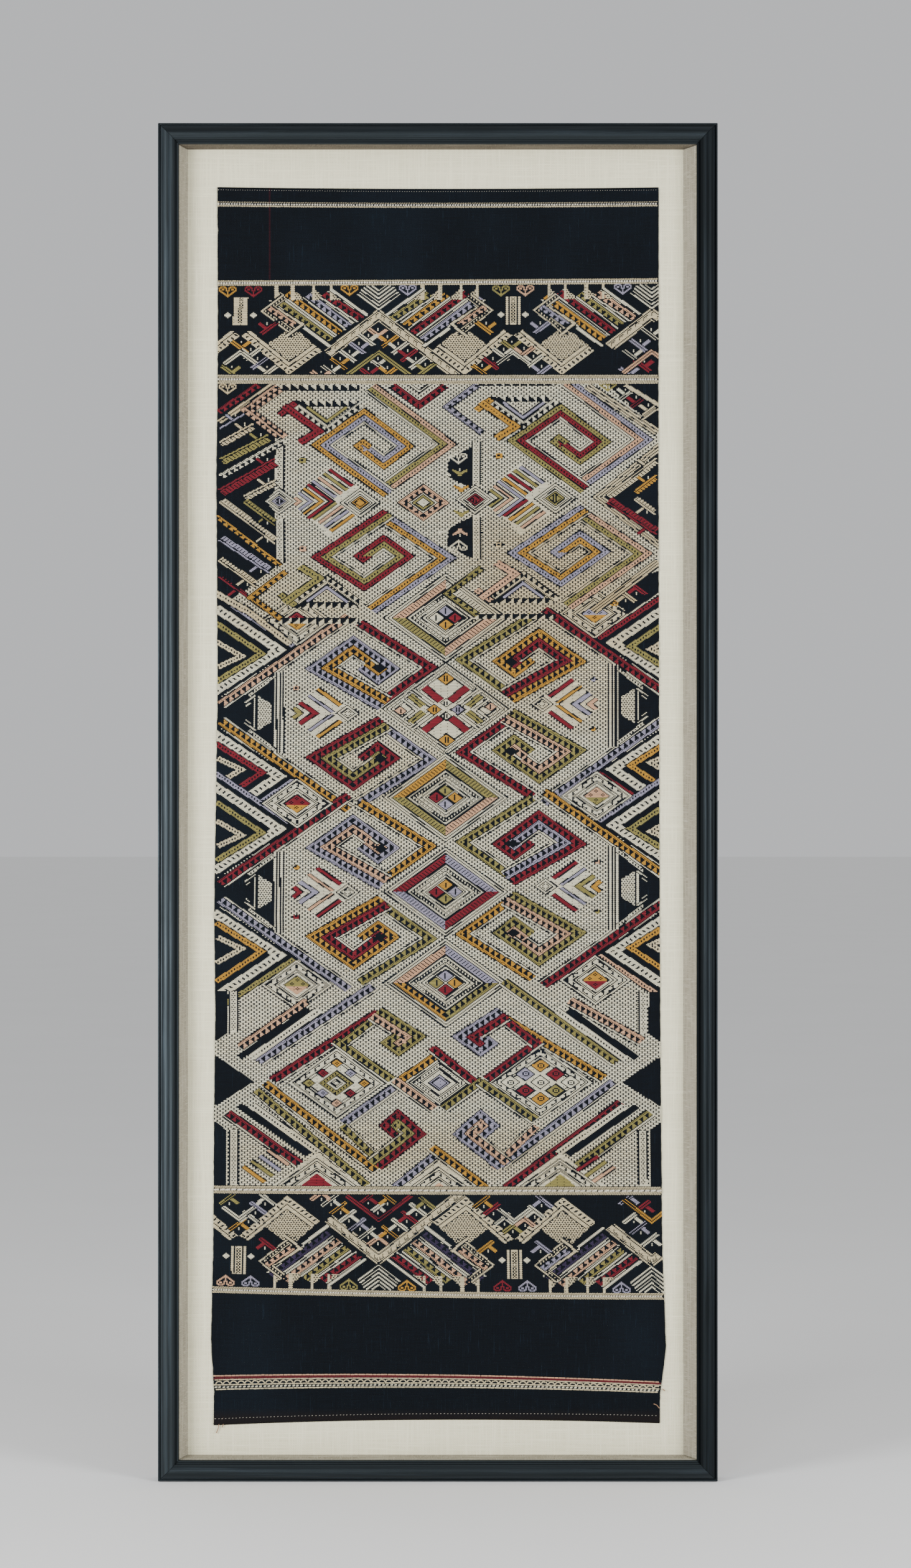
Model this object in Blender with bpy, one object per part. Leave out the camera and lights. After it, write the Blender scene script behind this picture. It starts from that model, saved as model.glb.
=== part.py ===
"""Handwoven ceremonial cloth on a linen ground, in a black wooden shadow-box frame.

The part stands upright as it hangs: +X to the right, +Z up, the front facing -Y and the
back of the frame in the plane Y = 0. The origin lies on the back face of the top rail, at
the middle of its length and of its width, where the frame hangs. Lengths are in metres.
"""

import math

import bmesh
import bpy

MM = 0.001

# Frame, outside to outside
FRAME_WIDTH = 562.0 * MM
FRAME_HEIGHT = 1364.0 * MM
FRAME_DEPTH = 32.0 * MM

# Moulding, across the rail from its outer edge and up from the wall
RAIL_WIDTH = 21.0 * MM
RIM_BEAD_RADIUS = 1.0 * MM
RIM_BEAD_HEIGHT = 27.0 * MM
GROOVE_FLOOR = 25.8 * MM
GROOVE_WIDTH = 1.1 * MM
FACE_SHOULDER = 29.2 * MM
FACE_INNER_EDGE = 17.0 * MM
ARRIS_ROUND = 1.0 * MM
LIP_HEIGHT = 26.0 * MM
SIGHT_BEAD_RADIUS = 1.2 * MM
LIP_UNDERSIDE = 23.5 * MM
RABBET_WALL = 14.0 * MM
ROUND_STEPS = 6

# Running clearances between pieces
GAP = 0.3 * MM
MITRE_PLAY = 0.2 * MM

# Backing board and linen ground, up from the wall
BOARD_BACK = 1.0 * MM
BOARD_THICKNESS = 5.0 * MM
LINEN_THICKNESS = 1.2 * MM

# Linen-wrapped fillets: how far the splayed inner face reaches in from the frame's outer edge
FILLET_TOP_REACH = 21.4 * MM
FILLET_EDGE_ROUND = 0.7 * MM
FILLET_FOOT_REACH = {
    "left": 28.5 * MM,
    "right": 33.2 * MM,
    "top": 23.2 * MM,
    "bottom": 23.0 * MM,
}

# Cloth: its place on the ground, and the folded hems at its ends
CLOTH_TOP_INSET = 61.2 * MM
CLOTH_LENGTH = 1250.0 * MM
CLOTH_STATION_PITCH = 32.0 * MM
CLOTH_COLUMNS = 14
SELVEDGE_SHARE = 0.62
SELVEDGE_WIDTH = 1.6 * MM
THICKNESS_STEP = 0.9 * MM
RIPPLE_HEIGHT = 0.16 * MM
RIPPLE_LENGTH = 210.0 * MM

# How the cloth's two edges wander: down the cloth, then left and right of the middle
SELVEDGES = [
    {"down": 0.0 * MM, "left": 222.4 * MM, "right": 222.8 * MM},
    {"down": 190.0 * MM, "left": 222.2 * MM, "right": 222.8 * MM},
    {"down": 290.0 * MM, "left": 223.6 * MM, "right": 222.6 * MM},
    {"down": 500.0 * MM, "left": 222.3 * MM, "right": 223.3 * MM},
    {"down": 735.0 * MM, "left": 225.8 * MM, "right": 223.8 * MM},
    {"down": 835.0 * MM, "left": 224.7 * MM, "right": 224.6 * MM},
    {"down": 940.0 * MM, "left": 226.0 * MM, "right": 225.2 * MM},
    {"down": 1065.0 * MM, "left": 226.6 * MM, "right": 226.6 * MM},
    {"down": 1165.0 * MM, "left": 229.0 * MM, "right": 230.2 * MM},
    {"down": 1215.0 * MM, "left": 226.0 * MM, "right": 224.2 * MM},
    {"down": 1250.0 * MM, "left": 226.4 * MM, "right": 224.0 * MM},
]

# How far the weft sags below its place at the left edge, in the middle and at the right edge
WEFT_SAG = [
    {"down": 0.0 * MM, "middle": -0.4 * MM, "right": 0.2 * MM},
    {"down": 95.0 * MM, "middle": -0.8 * MM, "right": -2.2 * MM},
    {"down": 190.0 * MM, "middle": 0.3 * MM, "right": 0.0 * MM},
    {"down": 1008.0 * MM, "middle": 1.0 * MM, "right": 1.2 * MM},
    {"down": 1110.0 * MM, "middle": 5.4 * MM, "right": 7.0 * MM},
    {"down": 1199.0 * MM, "middle": -0.8 * MM, "right": 6.6 * MM},
    {"down": 1240.0 * MM, "middle": -5.0 * MM, "right": -3.6 * MM},
    {"down": 1250.0 * MM, "middle": -5.6 * MM, "right": -2.0 * MM},
]

# Thickness of the cloth from each place down its length to the next
CLOTH_SECTIONS = [
    {"name": "top hem", "down": 0.0 * MM, "thickness": 2.2 * MM},
    {"name": "top end, plain", "down": 4.0 * MM, "thickness": 1.3 * MM},
    {"name": "twined band near the hem", "down": 20.0 * MM, "thickness": 1.7 * MM},
    {"name": "plain ground", "down": 26.5 * MM, "thickness": 1.3 * MM},
    {"name": "twined band over the border", "down": 94.4 * MM, "thickness": 2.2 * MM},
    {"name": "top border", "down": 99.4 * MM, "thickness": 1.8 * MM},
    {"name": "twined band under the border", "down": 189.4 * MM, "thickness": 2.2 * MM},
    {"name": "field", "down": 198.8 * MM, "thickness": 1.8 * MM},
    {"name": "twined band over the lower border", "down": 1007.5 * MM, "thickness": 2.2 * MM},
    {"name": "lower border", "down": 1016.3 * MM, "thickness": 1.8 * MM},
    {"name": "twined band under the lower border", "down": 1109.4 * MM, "thickness": 2.2 * MM},
    {"name": "lower plain ground", "down": 1115.6 * MM, "thickness": 1.3 * MM},
    {"name": "figured stripe", "down": 1199.0 * MM, "thickness": 1.8 * MM},
    {"name": "lower end, plain", "down": 1214.5 * MM, "thickness": 1.3 * MM},
    {"name": "bottom hem", "down": 1243.0 * MM, "thickness": 2.2 * MM},
]

# Derived places
FRAME_TOP = RAIL_WIDTH / 2
LINEN_BACK = BOARD_BACK + BOARD_THICKNESS + GAP
LINEN_FRONT = LINEN_BACK + LINEN_THICKNESS
SOFT_BACK = LINEN_FRONT + GAP
FILLET_FRONT = LIP_UNDERSIDE - GAP
CLOTH_TOP = FRAME_TOP - CLOTH_TOP_INSET

SIDES = ("left", "right", "top", "bottom")
NEIGHBOURS = {
    "left": ("bottom", "top"),
    "right": ("bottom", "top"),
    "top": ("left", "right"),
    "bottom": ("left", "right"),
}


def clear_scene():
    """Remove every object and mesh that the startup scene holds."""
    for obj in list(bpy.data.objects):
        bpy.data.objects.remove(obj, do_unlink=True)
    for mesh in list(bpy.data.meshes):
        bpy.data.meshes.remove(mesh)


def make_material(name, colour, roughness, metallic=0.0):
    """A plain Principled material."""
    material = bpy.data.materials.new(name)
    material.use_nodes = True
    shader = material.node_tree.nodes["Principled BSDF"]
    shader.inputs["Base Color"].default_value = (*colour, 1.0)
    shader.inputs["Roughness"].default_value = roughness
    shader.inputs["Metallic"].default_value = metallic
    material.diffuse_color = (*colour, 1.0)
    return material


def add_object(name, bm, material):
    """Turn a bmesh into a named object with outward faces and one material."""
    bmesh.ops.recalc_face_normals(bm, faces=bm.faces)
    mesh = bpy.data.meshes.new(name)
    bm.to_mesh(mesh)
    bm.free()
    mesh.materials.append(material)
    obj = bpy.data.objects.new(name, mesh)
    bpy.context.scene.collection.objects.link(obj)
    return obj


def arc(centre, radius, start, end, steps):
    """Points on an arc, angles in degrees, both ends included."""
    points = []
    for i in range(steps + 1):
        angle = math.radians(start + (end - start) * i / steps)
        points.append((centre[0] + radius * math.cos(angle), centre[1] + radius * math.sin(angle)))
    return points


def crown(start, end, height, steps):
    """Points of a shallow parabola between two places of one height, rising to height."""
    points = []
    for i in range(1, steps):
        share = i / steps
        rise = (height - start[1]) * 4 * share * (1 - share)
        points.append((start[0] + (end[0] - start[0]) * share, start[1] + rise))
    return points


def rail_section():
    """The moulding's outline, as (in from the outer edge, up from the wall) pairs."""
    groove = 2 * RIM_BEAD_RADIUS
    face_start = groove + GROOVE_WIDTH
    shoulder_start = (face_start + ARRIS_ROUND, FACE_SHOULDER)
    shoulder_end = (FACE_INNER_EDGE - ARRIS_ROUND, FACE_SHOULDER)
    sight_middle = RAIL_WIDTH - SIGHT_BEAD_RADIUS
    section = [(0.0, 0.0)]
    section += arc((RIM_BEAD_RADIUS, RIM_BEAD_HEIGHT), RIM_BEAD_RADIUS, 180, 0, ROUND_STEPS)
    section += [(groove, GROOVE_FLOOR), (face_start, GROOVE_FLOOR)]
    section += arc((face_start + ARRIS_ROUND, FACE_SHOULDER - ARRIS_ROUND), ARRIS_ROUND, 180, 90, 3)
    section += crown(shoulder_start, shoulder_end, FRAME_DEPTH, 2 * ROUND_STEPS)
    section += arc((FACE_INNER_EDGE - ARRIS_ROUND, FACE_SHOULDER - ARRIS_ROUND), ARRIS_ROUND, 90, 0, 3)
    section += [(FACE_INNER_EDGE, LIP_HEIGHT)]
    section += arc((sight_middle, LIP_HEIGHT), SIGHT_BEAD_RADIUS, 180, 0, ROUND_STEPS)
    section += [(RAIL_WIDTH, LIP_UNDERSIDE), (RABBET_WALL, LIP_UNDERSIDE), (RABBET_WALL, 0.0)]
    return section


def bar_place(side, inset, along_inset, height, at_start):
    """A point of a bar of the frame: inset from its own side and from the side at one end."""
    across = FRAME_WIDTH / 2
    low = FRAME_TOP - FRAME_HEIGHT
    if side in ("left", "right"):
        sign = -1 if side == "left" else 1
        x = sign * (across - inset)
        z = low + along_inset + MITRE_PLAY if at_start else FRAME_TOP - along_inset - MITRE_PLAY
    else:
        z = FRAME_TOP - inset if side == "top" else low + inset
        x = -across + along_inset + MITRE_PLAY if at_start else across - along_inset - MITRE_PLAY
    return (x, -height, z)


def mitred_bar(name, side, section, material):
    """A bar along one side of the frame, from section rows of (inset, height, start, end).

    The last two values say how far each corner of the section stops short of the frame's
    outer edge at the two ends, which gives the mitres.
    """
    bm = bmesh.new()
    starts = [bm.verts.new(bar_place(side, i, s, h, True)) for i, h, s, e in section]
    ends = [bm.verts.new(bar_place(side, i, e, h, False)) for i, h, s, e in section]
    count = len(section)
    for i in range(count):
        j = (i + 1) % count
        bm.faces.new((starts[i], starts[j], ends[j], ends[i]))
    for ring in (starts, ends):
        bm.faces.new(ring)
    return add_object(name, bm, material)


def make_rails(material):
    """Four mitred rails of one moulding."""
    outline = rail_section()
    for side in SIDES:
        section = [(inset, height, inset, inset) for inset, height in outline]
        rail = mitred_bar(f"rail_{side}", side, section, material)
        rail.data.shade_smooth()
        rail.data.set_sharp_from_angle(angle=math.radians(40))


def fillet_outline(side):
    """A fillet's five corners in order: outer foot, inner foot, the eased edge, outer top."""
    outer = RABBET_WALL + GAP
    foot = FILLET_FOOT_REACH[side]
    return [
        (outer, SOFT_BACK),
        (foot, SOFT_BACK),
        (FILLET_TOP_REACH, FILLET_FRONT - FILLET_EDGE_ROUND),
        (FILLET_TOP_REACH - FILLET_EDGE_ROUND, FILLET_FRONT),
        (outer, FILLET_FRONT),
    ]


def fan_bar(name, side, section, material):
    """As mitred_bar, with the ends closed by a fan, so that neighbours match at the mitre."""
    bm = bmesh.new()
    starts = [bm.verts.new(bar_place(side, i, s, h, True)) for i, h, s, e in section]
    ends = [bm.verts.new(bar_place(side, i, e, h, False)) for i, h, s, e in section]
    count = len(section)
    for i in range(count):
        j = (i + 1) % count
        bm.faces.new((starts[i], starts[j], ends[j]))
        bm.faces.new((starts[i], ends[j], ends[i]))
    for ring in (starts, ends):
        for i in range(1, count - 1):
            bm.faces.new((ring[0], ring[i], ring[i + 1]))
    return add_object(name, bm, material)


def make_fillets(material):
    """Linen-wrapped strips between the frame's lip and the ground, splayed on the inside."""
    for side in SIDES:
        first, second = NEIGHBOURS[side]
        rows = zip(fillet_outline(side), fillet_outline(first), fillet_outline(second))
        section = [(own[0], own[1], before[0], after[0]) for own, before, after in rows]
        fan_bar(f"fillet_{side}", side, section, material)


def make_panel(name, back, thickness, material):
    """A flat panel that fills the frame's rabbet."""
    bm = bmesh.new()
    bmesh.ops.create_cube(bm, size=1.0)
    margin = 2 * (RABBET_WALL + GAP)
    middle = FRAME_TOP - FRAME_HEIGHT / 2
    size = (FRAME_WIDTH - margin, thickness, FRAME_HEIGHT - margin)
    bmesh.ops.scale(bm, vec=size, verts=bm.verts)
    bmesh.ops.translate(bm, vec=(0.0, -back - thickness / 2, middle), verts=bm.verts)
    return add_object(name, bm, material)


def from_table(table, column, down):
    """A table's column at a place down the cloth, on straight lines between its rows."""
    if down <= table[0]["down"]:
        return table[0][column]
    for low, high in zip(table, table[1:]):
        if down <= high["down"]:
            share = (down - low["down"]) / (high["down"] - low["down"])
            return low[column] + share * (high[column] - low[column])
    return table[-1][column]


def cloth_stations():
    """Places down the cloth where its thickness changes, and more at an even pitch between."""
    stations = {0.0, CLOTH_LENGTH}
    for section in CLOTH_SECTIONS[1:]:
        stations.add(section["down"] - THICKNESS_STEP / 2)
        stations.add(section["down"] + THICKNESS_STEP / 2)
    fixed = sorted(stations)
    for low, high in zip(fixed, fixed[1:]):
        parts = max(1, math.ceil((high - low) / CLOTH_STATION_PITCH))
        stations.update(low + (high - low) * i / parts for i in range(1, parts))
    return sorted(stations)


def cloth_thickness(down):
    """Thickness of the section of cloth at this place down its length."""
    thickness = CLOTH_SECTIONS[0]["thickness"]
    for section in CLOTH_SECTIONS[1:]:
        if down >= section["down"]:
            thickness = section["thickness"]
    return thickness


def cloth_point(down, share):
    """X and Z of the cloth at a place down it and across it, 0 at the left edge to 1."""
    left = from_table(SELVEDGES, "left", down)
    right = from_table(SELVEDGES, "right", down)
    middle_sag = from_table(WEFT_SAG, "middle", down)
    right_sag = from_table(WEFT_SAG, "right", down)
    bow = 4 * share * (1 - share) * (middle_sag - right_sag / 2)
    return (-left + share * (left + right), CLOTH_TOP - down - bow - share * right_sag)


def cloth_shares():
    """Places across the cloth: a narrow selvedge at each side and even steps between."""
    edge = SELVEDGE_WIDTH / (2 * SELVEDGES[0]["left"])
    inner = [edge + (1 - 2 * edge) * i / CLOTH_COLUMNS for i in range(CLOTH_COLUMNS + 1)]
    return [0.0] + inner + [1.0]


def make_cloth(material):
    """The cloth, one closed sheet: flat at the back, thicker where it is hemmed or figured."""
    bm = bmesh.new()
    shares = cloth_shares()
    front_rows = []
    back_rows = []
    for down in cloth_stations():
        front = []
        back = []
        for share in shares:
            x, z = cloth_point(down, share)
            thickness = cloth_thickness(down)
            if share in (0.0, 1.0):
                thickness *= SELVEDGE_SHARE
            ripple = RIPPLE_HEIGHT * math.sin(2 * math.pi * (down + 0.7 * x) / RIPPLE_LENGTH)
            front.append(bm.verts.new((x, -SOFT_BACK - thickness - ripple, z)))
            back.append(bm.verts.new((x, -SOFT_BACK, z)))
        front_rows.append(front)
        back_rows.append(back)
    for rows in (front_rows, back_rows):
        for upper, lower in zip(rows, rows[1:]):
            for i in range(len(shares) - 1):
                bm.faces.new((upper[i], upper[i + 1], lower[i + 1], lower[i]))
    for front, back in ((front_rows[0], back_rows[0]), (front_rows[-1], back_rows[-1])):
        for i in range(len(shares) - 1):
            bm.faces.new((front[i], front[i + 1], back[i + 1], back[i]))
    for i in (0, -1):
        for row in range(len(front_rows) - 1):
            corners = (front_rows[row][i], front_rows[row + 1][i])
            bm.faces.new((*corners, back_rows[row + 1][i], back_rows[row][i]))
    cloth = add_object("textile", bm, material)
    cloth.data.shade_smooth()
    cloth.data.set_sharp_from_angle(angle=math.radians(35))


def main():
    """Build every piece of the framed cloth."""
    clear_scene()
    wood = make_material("black_stained_wood", (0.012, 0.013, 0.015), 0.42)
    board = make_material("board", (0.36, 0.30, 0.22), 0.85)
    linen = make_material("natural_linen", (0.62, 0.58, 0.50), 0.9)
    weave = make_material("indigo_and_silk", (0.30, 0.26, 0.22), 0.8)
    make_rails(wood)
    make_panel("backing_board", BOARD_BACK, BOARD_THICKNESS, board)
    make_panel("linen_ground", LINEN_BACK, LINEN_THICKNESS, linen)
    make_fillets(linen)
    make_cloth(weave)


main()
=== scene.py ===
"""A long handwoven cloth on linen in a black shadow-box frame.

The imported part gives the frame, the board, the linen and the cloth their sizes and places.
This file weaves the cloth's supplementary weft, dresses every piece and lights the whole.
Lengths are metres unless a name says otherwise. The weaver's chart is measured on a sheet
whose unit is PIXEL metres.
"""
import logging
import math
from dataclasses import dataclass, field, fields
from enum import Enum, IntEnum

import bpy
import numpy as np
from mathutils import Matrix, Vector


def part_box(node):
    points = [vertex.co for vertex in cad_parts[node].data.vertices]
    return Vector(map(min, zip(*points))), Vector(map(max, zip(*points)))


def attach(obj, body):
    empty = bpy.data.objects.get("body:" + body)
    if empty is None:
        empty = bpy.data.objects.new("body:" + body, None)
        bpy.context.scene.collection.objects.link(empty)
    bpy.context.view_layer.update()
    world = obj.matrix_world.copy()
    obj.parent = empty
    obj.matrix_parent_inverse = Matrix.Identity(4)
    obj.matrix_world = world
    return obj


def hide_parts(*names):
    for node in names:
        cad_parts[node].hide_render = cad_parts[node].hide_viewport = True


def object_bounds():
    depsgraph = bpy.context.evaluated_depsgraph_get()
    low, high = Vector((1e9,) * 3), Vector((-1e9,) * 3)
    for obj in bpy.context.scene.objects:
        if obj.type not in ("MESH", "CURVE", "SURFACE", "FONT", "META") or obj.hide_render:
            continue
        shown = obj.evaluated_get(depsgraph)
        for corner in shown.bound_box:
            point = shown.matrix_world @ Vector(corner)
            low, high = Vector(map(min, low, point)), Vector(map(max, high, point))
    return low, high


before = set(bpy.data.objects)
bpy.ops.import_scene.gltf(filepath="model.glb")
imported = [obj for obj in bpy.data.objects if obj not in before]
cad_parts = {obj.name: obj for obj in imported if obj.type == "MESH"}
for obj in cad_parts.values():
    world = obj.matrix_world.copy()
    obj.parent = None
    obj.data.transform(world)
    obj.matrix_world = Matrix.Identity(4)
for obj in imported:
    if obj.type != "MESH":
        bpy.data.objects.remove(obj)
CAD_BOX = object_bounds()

logging.basicConfig(level=logging.INFO, format="%(message)s")
LOG = logging.getLogger("framed_cloth")

MM = 0.001
PIXEL = 0.625 * MM
SHEET_MIDDLE = 703.5
SHEET_TOP = 198.0
FRAME_TOP = 10.5 * MM
CLOTH_START = 295.9
BODY = "root"
BAKE_MAP = "OFBake"

Point = tuple[float, float]
Colour = tuple[float, float, float]
Socket = bpy.types.NodeSocket
Material = bpy.types.Material
Piece = bpy.types.Object
Array = np.ndarray
View = tuple[slice, slice]


def sheet_x(x: float) -> float:
    """Place across, in metres, of a sheet place."""
    return (x - SHEET_MIDDLE) * PIXEL


def sheet_z(y: float) -> float:
    """Height, in metres, of a sheet place."""
    return FRAME_TOP - (y - SHEET_TOP) * PIXEL


def linear(*levels: int) -> Colour:
    """Scene-linear colour of an 8-bit display colour."""
    shares = [level / 255.0 for level in levels]
    return tuple(s / 12.92 if s <= 0.04045 else ((s + 0.055) / 1.055) ** 2.4 for s in shares)


def opaque(value: object) -> object:
    """A colour with its alpha, or a socket as it is."""
    return (*value, 1.0) if isinstance(value, tuple) else value


class Axis(IntEnum):
    """Axes of the row frame."""

    X = 0
    Y = 1
    Z = 2


class Recipe:
    """A Principled material while its nodes are laid out, read from Object coordinates."""

    def __init__(self, name: str, roughness: float, specular: float) -> None:
        """Start the material and set what is the same all over it.

        Args:
            name: the material's name.
            roughness: base roughness.
            specular: specular level.
        """
        self.material = bpy.data.materials.new(name)
        self.material.use_nodes = True
        self.nodes = self.material.node_tree.nodes
        self.links = self.material.node_tree.links
        self.shader = self.nodes["Principled BSDF"]
        self.shader.inputs["Roughness"].default_value = roughness
        self.shader.inputs["Specular IOR Level"].default_value = specular
        self.place = self.nodes.new("ShaderNodeTexCoord").outputs["Object"]

    def feed(self, socket: Socket, value: object) -> None:
        """Link a socket to another, or set its constant."""
        if isinstance(value, Socket):
            self.links.new(value, socket)
        else:
            socket.default_value = value

    def maths(self, operation: str, *values: object) -> Socket:
        """One Math node."""
        node = self.nodes.new("ShaderNodeMath")
        node.operation = operation
        for socket, value in zip(node.inputs, values):
            self.feed(socket, value)
        return node.outputs[0]

    def times(self, *values: object) -> Socket:
        """The product of two values."""
        return self.maths("MULTIPLY", *values)

    def scaled(self, value: object, gain: float, offset: object) -> Socket:
        """A value times a gain, plus an offset."""
        return self.maths("MULTIPLY_ADD", value, gain, offset)

    def axis(self, axis: Axis) -> Socket:
        """One coordinate of the piece."""
        node = self.nodes.new("ShaderNodeSeparateXYZ")
        self.links.new(self.place, node.inputs[0])
        return node.outputs[int(axis)]

    def grain(
        self,
        repeats: tuple[float, float, float],
        detail: float = 3.0,
        warp: float = 0.0,
    ) -> Socket:
        """Noise with so many features to a metre along each axis.

        Args:
            repeats: features to a metre along X, Y and Z.
            detail: octaves of the noise.
            warp: how far the noise is pushed about.

        Returns:
            The noise's value socket.
        """
        mapping = self.nodes.new("ShaderNodeMapping")
        mapping.inputs["Scale"].default_value = repeats
        self.links.new(self.place, mapping.inputs["Vector"])
        noise = self.nodes.new("ShaderNodeTexNoise")
        noise.inputs["Scale"].default_value = 1.0
        noise.inputs["Detail"].default_value = detail
        noise.inputs["Distortion"].default_value = warp
        self.links.new(mapping.outputs[0], noise.inputs["Vector"])
        return noise.outputs["Fac"]

    def weave(self, warp_pitch: float, weft_pitch: float) -> Socket:
        """Height of a plain weave, 0 to 1, from its thread pitches."""
        across = self.maths("SINE", self.times(self.axis(Axis.X), math.pi / warp_pitch))
        down = self.maths("SINE", self.times(self.axis(Axis.Z), math.pi / weft_pitch))
        return self.scaled(self.times(across, down), 0.5, 0.5)

    def spread(self, source: Socket, low: float, high: float) -> Socket:
        """Stretch a value so that low becomes 0 and high becomes 1, clamped."""
        node = self.nodes.new("ShaderNodeMapRange")
        self.links.new(source, node.inputs["Value"])
        node.inputs["From Min"].default_value = low
        node.inputs["From Max"].default_value = high
        return node.outputs["Result"]

    def blend(self, share: object, first: object, second: object) -> Socket:
        """Mix two colours."""
        node = self.nodes.new("ShaderNodeMix")
        node.data_type = "RGBA"
        self.feed(node.inputs[0], share)
        self.feed(node.inputs[6], opaque(first))
        self.feed(node.inputs[7], opaque(second))
        return node.outputs[2]

    def colour(self, value: object) -> None:
        """The base colour."""
        self.feed(self.shader.inputs["Base Color"], opaque(value))

    def relief(self, height: Socket, depth: float) -> None:
        """Bump of a height from 0 to 1, so many metres deep."""
        node = self.nodes.new("ShaderNodeBump")
        node.inputs["Distance"].default_value = depth
        self.links.new(height, node.inputs["Height"])
        self.links.new(node.outputs[0], self.shader.inputs["Normal"])


@dataclass(frozen=True)
class StainedWood:
    """Black-stained open-grain wood with a satin polish, dull on its inner lip, which is painted
    near-black as painted shade.

    The lip, with its painted shade, ends at these distances from the frame's middle, measured
    across the rail.
    """

    name: str
    along: Axis
    ground: Colour = linear(7, 8, 9)
    # Pale blue-grey of the grain figure; the left rail's copy raises it as painted light.
    figure_and_painted_light: Colour = linear(26, 31, 36)
    gleam: Colour = (0.72, 0.9, 1.0)
    shine: float = 0.34
    fine_grain: float = 900.0
    broad_grain: float = 240.0
    length_grain: float = 9.0
    pore_depth: float = 0.12 * MM
    polish: float = 0.46
    dull: float = 0.76
    pore_polish: float = 0.14
    lip: tuple[float, float] = (0.2655, 0.2675)
    middle: float = 0.0

    def make(self) -> Material:
        """The material, its grain along one axis."""
        recipe = Recipe(self.name, self.polish, specular=self.shine)
        recipe.shader.inputs["Specular Tint"].default_value = opaque(self.gleam)
        fine = recipe.grain(self.repeats(self.fine_grain), 4.0)
        broad = recipe.grain(self.repeats(self.broad_grain), 3.0, 0.6)
        pores = recipe.spread(fine, 0.38, 0.62)
        figure = recipe.times(recipe.spread(broad, 0.35, 0.75), pores)
        # Painted shade: nearer the middle than the lip's distances the grain figure is left out, so
        # the lip shows only the near-black ground, and its roughness goes to dull.
        across = recipe.axis(Axis.X if self.along is Axis.Z else Axis.Z)
        out = recipe.maths("ABSOLUTE", recipe.maths("SUBTRACT", across, self.middle))
        clear_of_lip_shade = recipe.spread(out, *self.lip)
        figure = recipe.times(figure, clear_of_lip_shade)
        rough = recipe.scaled(clear_of_lip_shade, self.polish - self.dull, self.dull)
        rough = recipe.scaled(pores, -self.pore_polish, rough)
        recipe.colour(recipe.blend(figure, self.ground, self.figure_and_painted_light))
        recipe.feed(recipe.shader.inputs["Roughness"], rough)
        recipe.relief(recipe.times(pores, recipe.spread(broad, 0.2, 0.6)), self.pore_depth)
        return recipe.material

    def repeats(self, across: float) -> tuple[float, float, float]:
        """Features to a metre on each axis for a grain this close across the rail."""
        return tuple(self.length_grain if axis is self.along else across for axis in Axis)


@dataclass(frozen=True)
class Linen:
    """Natural linen in plain weave, with slubs both ways."""

    name: str
    pale: Colour = linear(225, 221, 194)
    dark: Colour = linear(194, 189, 161)
    slub: Colour = linear(172, 164, 138)
    pitch: float = 1.15 * MM
    depth: float = 0.25 * MM

    def make(self) -> Material:
        """The material."""
        recipe = Recipe(self.name, 0.88, specular=0.2)
        across = recipe.grain((26.0, 200.0, 1500.0), 4.0)
        down = recipe.grain((1500.0, 200.0, 26.0), 4.0)
        mottle = recipe.spread(recipe.maths("MAXIMUM", across, down), 0.4, 0.8)
        weave = recipe.weave(self.pitch, self.pitch)
        body = recipe.blend(mottle, self.dark, self.pale)
        thick = recipe.times(across, recipe.grain((9.0, 50.0, 520.0), 2.0))
        body = recipe.blend(recipe.times(recipe.spread(thick, 0.34, 0.44), 0.3), body, self.slub)
        # Painted shade: the colour goes up to a fifth of the way to the dark linen where the weave
        # dips between threads.
        recipe.colour(recipe.blend(recipe.scaled(weave, -0.2, 0.2), body, self.dark))
        height = recipe.scaled(weave, 0.6, recipe.times(mottle, 0.4))
        recipe.relief(height, self.depth)
        return recipe.material


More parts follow.
